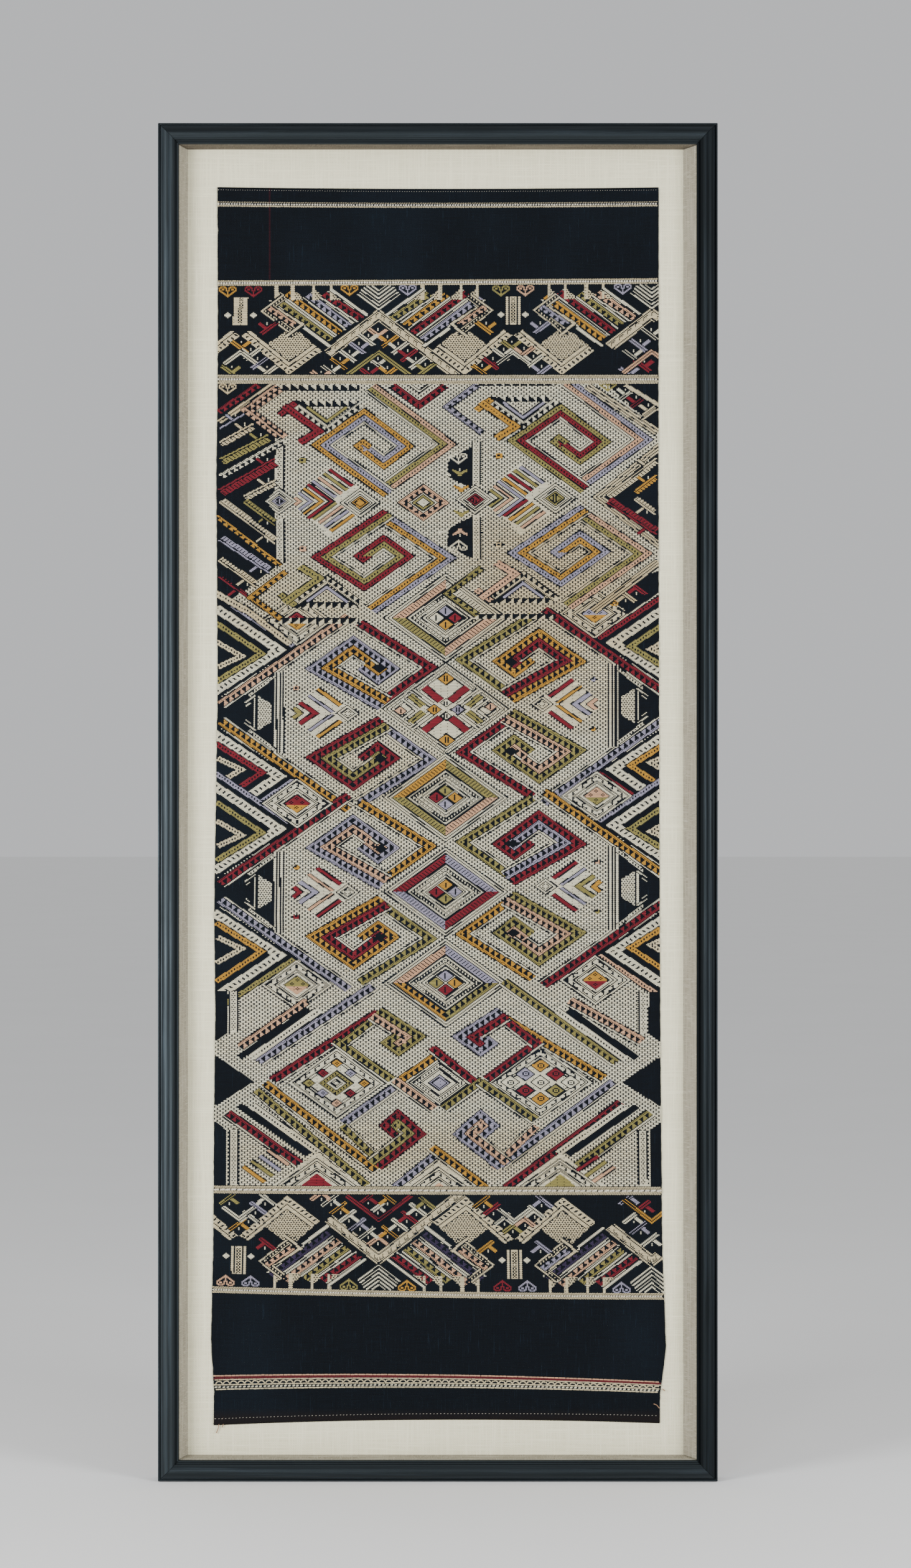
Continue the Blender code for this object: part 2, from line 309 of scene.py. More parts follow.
@dataclass(frozen=True)
class IndigoCloth:
    """Indigo plain weave with faded slubs, a brown worn hem and one thin red warp line.

    The sheet places of the line and of the hem are named red_warp to hem_full.
    """

    name: str = "indigo_ground"
    ground: Colour = linear(3, 10, 18)
    deep: Colour = linear(1, 3, 7)
    faded: Colour = linear(18, 31, 42)
    brown: Colour = linear(22, 15, 13)
    red: Colour = linear(46, 8, 16)
    red_warp: float = 432.0
    red_end: float = 447.0
    red_fade: float = 4.0
    hem_top: float = 2268.0
    hem_full: float = 2284.0
    warp_pitch: float = 0.95 * MM
    weft_pitch: float = 0.8 * MM
    depth: float = 0.22 * MM

    def make(self) -> Material:
        """The material."""
        recipe = Recipe(self.name, 0.85, specular=0.12)
        weft = recipe.grain((40.0, 100.0, 1300.0), 3.0)
        warp = recipe.grain((1300.0, 100.0, 30.0), 3.0)
        both = recipe.scaled(weft, 0.6, recipe.times(warp, 0.4))
        streaks = recipe.spread(both, 0.36, 0.66)
        weave = recipe.weave(self.warp_pitch, self.weft_pitch)
        body = recipe.blend(streaks, self.deep, self.ground)
        slubs = recipe.times(warp, recipe.grain((900.0, 60.0, 90.0), 1.0))
        body = recipe.blend(recipe.times(recipe.spread(slubs, 0.36, 0.46), 0.5), body, self.faded)
        wear = recipe.spread(recipe.grain((7.0, 7.0, 5.0), 4.0), 0.5, 0.8)
        body = recipe.blend(recipe.times(wear, 0.3), body, self.faded)
        offset = recipe.maths("SUBTRACT", recipe.axis(Axis.X), sheet_x(self.red_warp))
        gap = recipe.maths("ABSOLUTE", offset)
        line = recipe.times(recipe.spread(gap, 1.3 * MM, 0.3 * MM), recipe.spread(weft, 0.2, 0.7))
        height = recipe.axis(Axis.Z)
        start = recipe.spread(height, sheet_z(self.red_end), sheet_z(self.red_end - self.red_fade))
        body = recipe.blend(recipe.times(line, start), body, self.red)
        hem = recipe.spread(height, sheet_z(self.hem_top), sheet_z(self.hem_full))
        body = recipe.blend(recipe.times(hem, 0.7), body, self.brown)
        # Painted shade: the colour goes up to halfway to the deep indigo where the weave dips
        # between threads.
        recipe.colour(recipe.blend(recipe.scaled(weave, -0.5, 0.5), body, self.deep))
        recipe.relief(recipe.scaled(weave, 0.7, recipe.times(weft, 0.3)), self.depth)
        return recipe.material


@dataclass(frozen=True)
class FloatSilk:
    """Untwisted silk whose colour each float carries with it."""

    name: str = "weft_silk"
    attribute: str = "thread_colour"

    def make(self) -> Material:
        """The material."""
        recipe = Recipe(self.name, 0.62, specular=0.2)
        dye = recipe.nodes.new("ShaderNodeAttribute")
        dye.attribute_name = self.attribute
        fibres = recipe.grain((120.0, 2200.0, 5200.0), 2.0)
        uneven = recipe.spread(fibres, 0.3, 0.7)
        dark = recipe.blend(0.32, dye.outputs["Color"], (0.0, 0.0, 0.0))
        recipe.colour(recipe.blend(uneven, dark, dye.outputs["Color"]))
        recipe.relief(fibres, 0.08 * MM)
        return recipe.material


@dataclass(frozen=True)
class RawBoard:
    """Sawn board, seen from behind."""

    name: str = "raw_board"
    dark: Colour = linear(148, 118, 82)
    pale: Colour = linear(186, 158, 118)

    def make(self) -> Material:
        """The material."""
        recipe = Recipe(self.name, 0.8, specular=0.3)
        fibres = recipe.grain((260.0, 60.0, 7.0), 5.0, 0.8)
        recipe.colour(recipe.blend(recipe.spread(fibres, 0.3, 0.7), self.dark, self.pale))
        recipe.relief(fibres, 0.15 * MM)
        return recipe.material


@dataclass
class ClothShape:
    """How the cloth hangs: its wandering selvedges, sagging picks and shallow ripples.

    The tables give the distance down the cloth, then the edges or the sag there.
    """

    top: float = FRAME_TOP - (CLOTH_START - SHEET_TOP) * PIXEL
    length: float = 1250.0 * MM
    back: float = 7.8 * MM
    plain: float = 1.3 * MM
    hem: float = 2.1 * MM
    hem_depth: float = 6.0 * MM
    ripple: float = 0.16 * MM
    ripple_length: float = 210.0 * MM
    down: tuple[float, ...] = (
        0.0, 190.0, 290.0, 500.0, 735.0, 835.0, 940.0, 1065.0, 1165.0, 1215.0, 1250.0,
    )
    left: tuple[float, ...] = (
        222.4, 222.2, 223.6, 222.3, 225.8, 224.7, 226.0, 226.6, 229.0, 226.0, 226.4,
    )
    right: tuple[float, ...] = (
        222.8, 222.8, 222.6, 223.3, 223.8, 224.6, 225.2, 226.6, 230.2, 224.2, 224.0,
    )
    sag_down: tuple[float, ...] = (0.0, 95.0, 190.0, 1008.0, 1110.0, 1199.0, 1240.0, 1250.0)
    sag_middle: tuple[float, ...] = (1.8, -0.8, 0.3, 1.0, 5.4, -0.8, -5.0, -5.6)
    sag_right: tuple[float, ...] = (0.2, -2.2, 0.0, 1.2, 7.0, 6.6, -3.6, -2.0)

    def point(self, down: Array, share: Array) -> tuple[Array, Array]:
        """X and Z of the cloth this far down and this share across.

        Args:
            down: metres below the top edge, before the picks sag.
            share: 0 at the left selvedge to 1 at the right.

        Returns:
            X and Z, in metres.
        """
        mm = np.asarray(down) / MM
        left = np.interp(mm, self.down, self.left) * MM
        right = np.interp(mm, self.down, self.right) * MM
        middle = np.interp(mm, self.sag_down, self.sag_middle) * MM
        edge = np.interp(mm, self.sag_down, self.sag_right) * MM
        bow = 4 * share * (1 - share) * (middle - edge / 2)
        return -left + share * (left + right), self.top - down - bow - share * edge

    def surface(self, x: Array, z: Array) -> Array:
        """Y of the plain cloth's face."""
        wave = np.sin(2 * math.pi * (self.top - z + 0.7 * x) / self.ripple_length)
        return -self.back - self.plain - self.ripple * wave

    @staticmethod
    def down_of(y: Array | float) -> Array | float:
        """Metres down the cloth of a sheet place."""
        return (y - CLOTH_START) * PIXEL


class Thread(IntEnum):
    """Weft threads of the pattern. GROUND is the bare indigo."""

    GROUND = 0
    WHITE = 1
    CREAM = 2
    CRIMSON = 3
    GOLD = 4
    OLIVE = 5
    LAVENDER = 6
    PEACH = 7
    PURPLE = 8
    STITCH = 9


Threads = tuple[Thread, ...]
W, K, C, G = Thread.WHITE, Thread.CREAM, Thread.CRIMSON, Thread.GOLD
O, L, P, V = Thread.OLIVE, Thread.LAVENDER, Thread.PEACH, Thread.PURPLE
NONE = Thread.GROUND


class Teeth(Enum):
    """Dark marks along a lane: squares, triangles, dashes, curls, hooks, rungs or combs."""

    NONE = 0
    FINE = 1
    BOLD = 2
    DASHES = 3
    KEY = 4
    FAINT_KEY = 5
    RUNGS = 6
    COMB = 7


# Half the height, in picks, of a bold tooth at each of its four ends, in a lane this deep.
TOOTH = (2.9, 1.9, 0.9, 0.0)
TOOTH_LANE = 10.9
# Half the breadth, on the sheet, of the marks down the middle of a lane.
FINE_REACH, DASH_REACH, COMB_REACH = 1.4, 3.2, 3.3
COMB_SHARE = 0.32
# Squared curls and hooks that run along a lane: "#" is bare ground, "|" a hairline.
CURL = (".####..", ".#..#..", "....#..", "...##..")
FAINT_HOOK = (".###..", ".|.|..", ".|.|..", "...|..", "......")


@dataclass(frozen=True)
class Lane:
    """One stripe of a band: its thread, its upright width on the sheet, and its teeth."""

    thread: Thread
    width: float
    teeth: Teeth = Teeth.NONE


def fine(*threads: Thread) -> list[Lane]:
    """Narrow lanes with small teeth, as in the upper field."""
    return [Lane(thread, 10.6, Teeth.FINE) for thread in threads] + [Lane(W, 4.6)]


def bold(*threads: Thread) -> list[Lane]:
    """Broad lanes with bold teeth, as in the middle field."""
    return [Lane(thread, 15.5, Teeth.BOLD) for thread in threads] + [Lane(W, 4.6)]


def plain(thread: Thread, width: float) -> list[Lane]:
    """One lane without teeth."""
    return [Lane(thread, width)]


def toothed(thread: Thread, width: float, teeth: Teeth = Teeth.BOLD) -> list[Lane]:
    """One lane with teeth."""
    return [Lane(thread, width, teeth)]


TRIPLE = [Lane(K, 5.4), Lane(K, 5.4), Lane(K, 4.6)]
KEY_RIM = [Lane(W, 5), Lane(W, 11, Teeth.KEY), Lane(W, 4)]


@dataclass(frozen=True)
class Place:
    """Where a motif is put: its own middle on the sheet, turned over or not."""

    x: float = 0.0
    y: float = 0.0
    flip_x: int = 1
    flip_y: int = 1
    stretch: float = 1.0

    def at(self, points: list[Point]) -> list[Point]:
        """Sheet places of a motif's own points."""
        down = self.flip_y * self.stretch
        return [(self.x + self.flip_x * px, self.y + down * py) for px, py in points]


HERE = Place()


def diamond(x: float, y: float, half: Point) -> list[Point]:
    """Corners of a rhomb, clockwise from the left."""
    a, b = half
    return [(x - a, y), (x, y - b), (x + a, y), (x, y + b)]


@dataclass
class Chart:
    """The weaver's chart: one cell for each group of warp ends and each pick.

    A cell's place is kept in sheet units, so that motifs drawn on the sheet land on the
    cell under them however the cloth's edges and picks wander.
    """

    x: Array
    y: Array
    thread: Array = field(init=False)
    cut: Array = field(init=False)
    slope: float = 0.727
    line: float = 2.0
    rim: float = 4.6
    pick: float = 1.6
    end_pitch: float = 2.19

    def __post_init__(self) -> None:
        """Start from bare ground."""
        self.thread = np.zeros(self.x.shape, np.int8)
        self.cut = np.zeros(self.x.shape, bool)
        self.row, self.col = np.indices(self.x.shape)

    def window(self, points: list[Point], margin: float) -> View:
        """Rows and columns that can hold a drawing with these points."""
        xs = [p[0] for p in points]
        ys = [p[1] for p in points]
        rows = np.flatnonzero(
            (self.y.max(1) >= min(ys) - margin) & (self.y.min(1) <= max(ys) + margin)
        )
        cols = np.flatnonzero(
            (self.x.max(0) >= min(xs) - margin) & (self.x.min(0) <= max(xs) + margin)
        )
        if not len(rows) or not len(cols):
            return slice(0, 0), slice(0, 0)
        return slice(rows[0], rows[-1] + 1), slice(cols[0], cols[-1] + 1)

    def inside(self, points: list[Point], view: View) -> Array:
        """Cells of a window that lie inside a polygon."""
        x, y = self.x[view], self.y[view]
        hit = np.zeros(x.shape, bool)
        for (ax, ay), (bx, by) in zip(points, points[1:] + points[:1]):
            if ay == by:
                continue
            crosses = (ay > y) != (by > y)
            hit ^= crosses & (x < (bx - ax) * (y - ay) / (by - ay) + ax)
        return hit

    def lay(self, view: View, mask: Array, thread: int, cut: Array) -> None:
        """Lay a thread, or bare ground, on the masked cells of a window."""
        self.thread[view][mask] = thread
        self.cut[view][mask] = cut[mask]

    def rice(self, points: list[Point]) -> None:
        """Fill a polygon with short pale floats in brick order, a dark tick between their ends."""
        view = self.window(points, 1.0)
        mask = self.inside(points, view)
        row, col = self.row[view], self.col[view]
        tick = (col + 2 * (row // 2 % 2)) % 4 == 0
        whole = np.zeros(row.shape, bool)
        self.lay(view, mask & ~tick, W, whole)
        self.lay(view, mask & tick, NONE, whole)

    def solid(self, points: list[Point], thread: Thread) -> None:
        """Fill a polygon with close floats."""
        view = self.window(points, 1.0)
        row, col = self.row[view], self.col[view]
        self.lay(view, self.inside(points, view), thread, (col + 5 * (row % 3)) % 17 == 0)

    def block(self, place: Place, corner: Point, far: Point, thread: Thread) -> None:
        """Fill an upright rectangle between two corners that a place puts on the sheet."""
        (x, y), (far_x, far_y) = corner, far
        self.solid(place.at([(x, y), (far_x, y), (far_x, far_y), (x, far_y)]), thread)

    def checks(self, points: list[Point], thread: Thread) -> None:
        """Fill a polygon with close floats and small dark specks in brick order."""
        view = self.window(points, 1.0)
        mask = self.inside(points, view)
        row, col = self.row[view], self.col[view]
        speck = (row % 2 == 0) & ((col + row // 2) % 2 == 0)
        self.lay(view, mask, thread, (col + 2 * row) % 6 == 0)
        self.lay(view, mask & speck, NONE, speck)

    def band(
        self,
        points: list[Point],
        lanes: list[Lane],
        closed: bool = False,
        edged: bool = True,
    ) -> None:
        """Lay lanes side by side along a run of straight stretches with mitred corners.

        Args:
            points: the run's edge. The lanes lie on its right, seen along the way.
            lanes: the stripes, from the edge inwards.
            closed: whether the run ends where it starts.
            edged: whether a thin dark line parts each lane from what is beside it.
        """
        loop = points + points[:2] if closed else points
        total = sum(lane.width for lane in lanes) + (self.line if edged else 0.0)
        for i in range(len(loop) - 1 if not closed else len(points)):
            start, end = loop[i], loop[i + 1]
            before = loop[i - 1] if i > 0 else (points[-1] if closed else None)
            after = loop[i + 2] if i + 2 < len(loop) else None
            self.stretch_of_band(start, end, before, after, lanes, total, edged)

    def trail(
        self,
        place: Place,
        points: list[Point],
        lanes: list[Lane],
        edged: bool = True,
    ) -> None:
        """Lay a band along a motif's own points, turned round where a mirrored place needs it."""
        placed = place.at(points)
        mirrored = place.flip_x * place.flip_y < 0
        self.band(placed[::-1] if mirrored else placed, lanes, edged=edged)

    def heading(self, origin: Point, target: Point) -> Point:
        """Unit direction on the sheet once its slopes are opened to 45 degrees."""
        dx, dy = target[0] - origin[0], (target[1] - origin[1]) / self.slope
        length = max(1e-6, float(np.hypot(dx, dy)))
        return dx / length, dy / length

    def stretch_of_band(
        self,
        start: Point,
        end: Point,
        before: Point | None,
        after: Point | None,
        lanes: list[Lane],
        total: float,
        edged: bool,
    ) -> None:
        """One straight stretch of a band, cut at its corners' mitres.

        Args:
            start: where the stretch begins.
            end: where it ends.
            before: the corner before it, or None at a free end.
            after: the corner after it, or None at a free end.
            lanes: the stripes, from the edge inwards.
            total: their widths together.
            edged: whether a thin dark line parts each lane from what is beside it.
        """
        run = end[0] - start[0]
        if abs(run) < 1e-6:
            return
        rise = (end[1] - start[1]) / run
        side = 1.0 if run > 0 else -1.0
        view = self.window([start, end], total * 1.6 + 4)
        x, y = self.x[view], self.y[view]
        off = (y - start[1] - rise * (x - start[0])) * side
        mask = (off >= 0) & (off < total)
        for joint, other, far in ((start, before, end), (end, after, start)):
            own = self.heading(joint, far)
            turn = self.heading(joint, other) if other else (-own[0], -own[1])
            across = (own[0] - turn[0], own[1] - turn[1])
            mask &= (x - joint[0]) * across[0] + (y - joint[1]) / self.slope * across[1] >= 0
        row, col = self.row[view], self.col[view]
        rung = row + (col if rise > 0 else -col)
        if rise * side < 0:
            col = -col
        steep = abs(rise) * self.end_pitch / self.pick
        low = 0.0
        for lane in lanes:
            inner = off - low
            own = mask & (inner >= 0) & (inner < lane.width)
            dark = self.dark_of(lane, inner, rung, col, steep)
            if edged:
                dark |= inner < self.line
            fine_line = self.hairline_of(lane, inner, rung, col)
            self.lay(view, own, lane.thread, fine_line)
            self.lay(view, own & dark, NONE, dark)
            low += lane.width
        if edged:
            self.lay(view, mask & (off >= low), NONE, mask)

    @staticmethod
    def dark_of(lane: Lane, inner: Array, rung: Array, col: Array, steep: float) -> Array:
        """Cells of a lane that its teeth leave bare.

        Args:
            lane: the lane.
            inner: distance of each cell from the lane's outer edge.
            rung: number of the slanting row across the lane that each cell is in.
            col: each cell's end, counted towards the points of the teeth.
            steep: picks that the lane climbs in one end.

        Returns:
            True where the ground shows.
        """
        middle = np.abs(inner - lane.width / 2 - Chart.pick / 2)
        if lane.teeth is Teeth.FINE:
            return (col % 2 == 0) & (middle < FINE_REACH)
        if lane.teeth is Teeth.BOLD:
            deep = lane.width - Chart.rim
            tall = np.array(TOOTH) * (deep / TOOTH_LANE)
            step = (inner - Chart.rim - deep * 0.5) / Chart.pick + col % 4 * steep - 0.75
            return (np.abs(step) < tall[col % 4]) & (inner > Chart.rim)
        if lane.teeth is Teeth.DASHES:
            return (rung % 6 < 2) & (middle < DASH_REACH)
        if lane.teeth is Teeth.COMB:
            return (rung % 4 == 0) & (middle < max(COMB_REACH, lane.width * COMB_SHARE))
        if lane.teeth is Teeth.KEY:
            return Chart.hooks(CURL, "#", lane, inner, col)
        if lane.teeth is Teeth.FAINT_KEY:
            return Chart.hooks(FAINT_HOOK, "#", lane, inner, col)
        return np.zeros(inner.shape, bool)

    @staticmethod
    def hooks(form: tuple[str, ...], letter: str, lane: Lane, inner: Array, col: Array) -> Array:
        """Cells of a lane where a hook form that runs along it has this letter."""
        step = np.floor(
            (inner - lane.width / 2 - Chart.pick / 2) / Chart.pick + len(form) / 2
        ).astype(int)
        marked = np.array([[mark == letter for mark in line] for line in form])
        return (step >= 0) & (step < len(form)) & marked[
            np.clip(step, 0, len(form) - 1), col % len(form[0]),
        ]

    def hairline_of(self, lane: Lane, inner: Array, rung: Array, col: Array) -> Array:
        """Cells where one float ends and the next begins, which reads as a hairline."""
        if lane.teeth is Teeth.BOLD:
            return np.abs(inner - self.rim) < self.pick / 2
        if lane.teeth is Teeth.RUNGS:
            return rung % 6 < 2
        if lane.teeth is Teeth.FAINT_KEY:
            return self.hooks(FAINT_HOOK, "|", lane, inner, col)
        return np.zeros(inner.shape, bool)

    def rhomb(self, x: float, y: float, half: Point, lanes: list[Lane], heart: Thread) -> None:
        """A rhomb of nested lanes, from its edge inwards, round a plain heart."""
        corners = diamond(x, y, half)
        self.solid(corners, heart)
        self.band(corners, lanes, closed=True)

    def sprig(self, place: Place, x: float, y: float, thread: Thread, side: int = 1) -> None:
        """A small open flower: a bar that falls to one side (1 right, -1 left) and its petal."""
        bar = [(x - 12 * side, y - 10), (x + 13 * side, y + 8)]
        petal = [(x + side, y), (x + 12 * side, y - 8)]
        self.trail(place, bar[::side], [Lane(thread, 4.7), Lane(thread, 4.7)])
        self.trail(place, petal[::side], plain(thread, 6.5), edged=False)
        self.block(place, (x - 1.1, y - 8), (x + 1.1, y - 3.4), W)

    def mark(self, place: Place, x: float, y: float, rows: list[str], thread: Thread) -> None:
        """Lay a small charted figure at a motif's own place."""
        (spot,) = place.at([(x, y)])
        self.pattern(*spot, rows, thread, place)

    def pattern(
        self,
        x: float,
        y: float,
        rows: list[str],
        thread: Thread,
        place: Place = HERE,
    ) -> None:
        """Lay a small charted figure, one letter for each cell, with its middle at x, y.

        Args:
            x: sheet place of its middle.
            y: sheet place of its middle.
            rows: the chart from top to bottom. A dot keeps the cell under it, s is white.
            thread: the thread that any other letter stands for.
            place: how the figure is turned over.
        """
        distance = np.abs(self.y[:, self.x.shape[1] // 2] - y)
        middle_row = int(np.argmin(distance))
        middle_col = int(np.argmin(np.abs(self.x[middle_row] - x)))
        height, width = len(rows), max(len(line) for line in rows)
        for i, line in enumerate(rows):
            down = (i - height // 2) * place.flip_y
            for j, letter in enumerate(line):
                across = (j - width // 2) * place.flip_x
                r, c = middle_row + down, middle_col + across
                if letter == "." or not (0 <= r < self.x.shape[0] and 0 <= c < self.x.shape[1]):
                    continue
                self.thread[r, c] = W if letter == "s" else thread
                self.cut[r, c] = False


BIRD = [
    ".....s.....",
    "#....s....#",
    "###..s..###",
    ".####..####",
    "..#######..",
    "...#####...",
    "....###....",
    "....###....",
]
FIDDLE = [
    ".####...####.",
    "##..##.##..##",
    "#.##.#.#.##.#",
    "#.##.#.#.##.#",
    "##...###...##",
    ".##...#...##.",
    "..##..#..##..",
    "...##.#.##...",
    "....#####....",
    ".....###.....",
    "......#......",
]
SPECK = ["..#..", ".###.", "#####", "#####", ".###.", "..#.."]
RING = [".#.", "#.#", ".#."]
HOOK = [
    "####....",
    "#..##...",
    "#.#.##..",
    "##...##.",
    ".....###",
    "......##",
]


@dataclass
class Borders:
    """The two dark borders, whose hooked rhombs stand upright above and hang below."""

    chart: Chart

    def pole(self, place: Place) -> None:
        """A striped pole with its crossed core and two specks beside it."""
        c = self.chart
        for low, high in ((-12, -7.6), (-5.6, 5.6), (7.6, 12)):
            c.block(place, (low, 20), (high, 64), K)
        for y in range(24, 62, 5):
            c.mark(place, 0, y, ["x.x", ".x.", "x.x"], NONE)
        for x in (-20, 20):
            c.mark(place, x, 49, SPECK, W)

    def arm(self, place: Place) -> None:
        """A pole's arm: the dashed band down to the rhomb's foot and up its far side."""
        c = self.chart
        c.checks(place.at([(84, 66), (130, 105), (78, 143), (44, 94)]), K)
        foot = [(132, 107), (78, 146), (0, 82)]
        c.trail(place, foot, [Lane(K, 14, Teeth.DASHES), Lane(K, 8)])

    def head(self, place: Place, jaw: Thread) -> None:
        """The beaked head over the checked rhomb."""
        c = self.chart
        c.trail(
            place,
            [(84, 84), (29, 41), (66, 14)],
            [Lane(K, 5), Lane(K, 5, Teeth.FINE), Lane(K, 4)],
        )
        c.trail(place, [(60, 34), (106, 62), (78, 84)], plain(K, 7))
        c.trail(place, [(50, 32), (92, 60)], toothed(jaw, 12))
        c.trail(place, [(106, 66), (148, 96)], plain(W, 8))

    def bars(self, place: Place, threads: Threads) -> None:
        """Four toothed bars under their stems, each between pale lines."""
        c = self.chart
        starts = (
            (58, 66, 22, 155, 87), (84, 88, 15, 171, 76), (118, 121, 18, 184, 65),
            (146, 148, 16, 205, 53),
        )
        for thread, (stem, x, y, far_x, far_y) in zip(threads, starts):
            lanes = [Lane(W, 5.5), Lane(thread, 13.5, Teeth.BOLD), Lane(W, 5)]
            c.trail(place, [(x - 4, y - 9), (far_x, far_y - 6)], lanes)
            c.checks(place.at([(stem + 3, 8), (stem + 3, 24), (stem + 22, 24)]), K)
            c.block(place, (stem - 2.6, 0), (stem + 2.6, 24), K)
        c.trail(place, [(148, 4), (208, 46)], plain(W, 7))

    def apex(self, place: Place, near: float, far: float) -> None:
        """The broad key band that rises to a point, with its leaf tree on top.

        Args:
            place: the apex's own place.
            near: how far its left foot reaches.
            far: how far its right foot reaches.
        """
        c = self.chart
        c.solid(place.at([(0, 40), (-near, 146), (far, 146)]), NONE)
        path = [(-near, 36 + 0.76 * near), (0, 36), (far, 36 + 0.76 * far)]
        c.trail(place, path, [Lane(K, 4.6), Lane(K, 13.4, Teeth.FAINT_KEY), Lane(K, 4.6)])
        for i in range(6):
            base = 36 - 6.0 * i
            reach = min(32 - 3.2 * i, (base + 1) / 0.73)
            tip = base - 0.72 * reach
            c.trail(place, [(-reach, tip), (0, base), (reach, tip)], plain(W, 4.7))

    def lattice(
        self,
        place: Place,
        thread: Thread,
        sprigs: list[tuple[float, float, Thread]],
        reach: float,
    ) -> None:
        """A double line under an apex, with sprigs (x, y and thread) over it and under it."""
        for x, y, tone in sprigs:
            self.chart.sprig(place, x, y, tone, -1 if x > 2 else 1)
        path = [(-reach, 102 + 0.72 * reach), (0, 102), (reach, 102 + 0.72 * reach)]
        self.chart.trail(place, path, [Lane(thread, 4.6), Lane(thread, 4.6)])

    def draw(self) -> None:
        """Both borders from side to side."""
        top = {"y": 455.0, "flip_y": 1, "stretch": 1.0}
        low = {"y": 2071.0, "flip_y": -1, "stretch": 1.02}
        for row, tones in ((top, 0), (low, 1)):
            self.one(row, tones)

    def one(self, row: dict[str, float], tones: int) -> None:
        """One border. The lower one, tones 1, has threads of its own."""
        first = Place(x=385.0 - 3 * tones, **row)
        second = Place(x=825.0 + 2 * tones, **row)
        first_back = Place(x=first.x, flip_x=-1, **row)
        second_back = Place(x=second.x, flip_x=-1, **row)
        peak = Place(x=608.0, **row)
        last_peak = Place(x=1049.0, **row)
        self.apex(peak, 90, 146)
        self.apex(last_peak, 76, 20)
        for place, tone in (
            (first, (O, G, L, C)), (second, (G, C, O, P)), (second_back, (L, C, G, O)),
        ):
            self.arm(place)
            self.bars(place, (V, P, O, C) if tones else tone)
            self.head(place, P if place is not second else L)
        self.arm(first_back)
        self.pole(first)
        self.pole(second)
        heads = ((first, -21, G), (first, 20, C), (second, -20, O), (second, 20, P))
        low_heads = ((first, -21, P), (first, 20, L), (second, -20, C), (second, 22, L))
        for place, x, thread in low_heads if tones else heads:
            self.chart.mark(place, x, 10, FIDDLE, thread)
        peaks = ((peak, -48, O if tones else G), (peak, 46, G if tones else L), (last_peak, -48, L))
        for place, x, thread in peaks:
            self.chart.mark(place, x, 9, FIDDLE, thread)
        sprigs = [
            (-1, 77, P), (-16, 86, W), (15, 88, G), (-31, 99, L), (31, 99, W), (-47, 112, W),
            (46, 111, C), (-62, 124, G), (-1, 124, W), (60, 123, W), (-16, 139, C), (15, 138, G),
            (75, 133, O), (-76, 136, W), (-93, 145, P),
        ]
        last_sprigs = [(0, 78, W), (-18, 96, L), (-30, 112, W), (-12, 128, C), (-36, 140, L)]
        first_sprigs = [(1, 97, G), (16, 109, W), (28, 123, L), (43, 137, W), (-15, 137, O)]
        second_sprigs = [
            (-2, 97, O), (17, 107, P), (-16, 109, W), (-33, 124, C), (32, 120, W), (-50, 135, G),
            (45, 136, L),
        ]
        self.lattice(peak, C if tones else O, sprigs, 56)
        self.lattice(last_peak, G if tones else P, last_sprigs, 50)
        self.lattice(first, W, first_sprigs, 30)
        self.lattice(second, W, second_sprigs, 30)
        for place, thread in ((first, C), (second_back, G), (second, L)):
            self.chart.sprig(place, 43, 67, thread, -1)


# Sheet places of the edges of all that is woven, and of the field's top and bottom.
LEFT, RIGHT = 320, 1090
TOP, BOTTOM = 612, 1910
SPIRAL_HIGH = [
    (0, 0), (-119, -85), (-30, -146), (53, -83), (1, -44), (-50, -83), (-33, -97), (-16, -84),
]
SPIRAL_BROAD = [(0, 0), (-119, -67), (-39, -123), (39, -68), (1, -40), (-34, -66)]


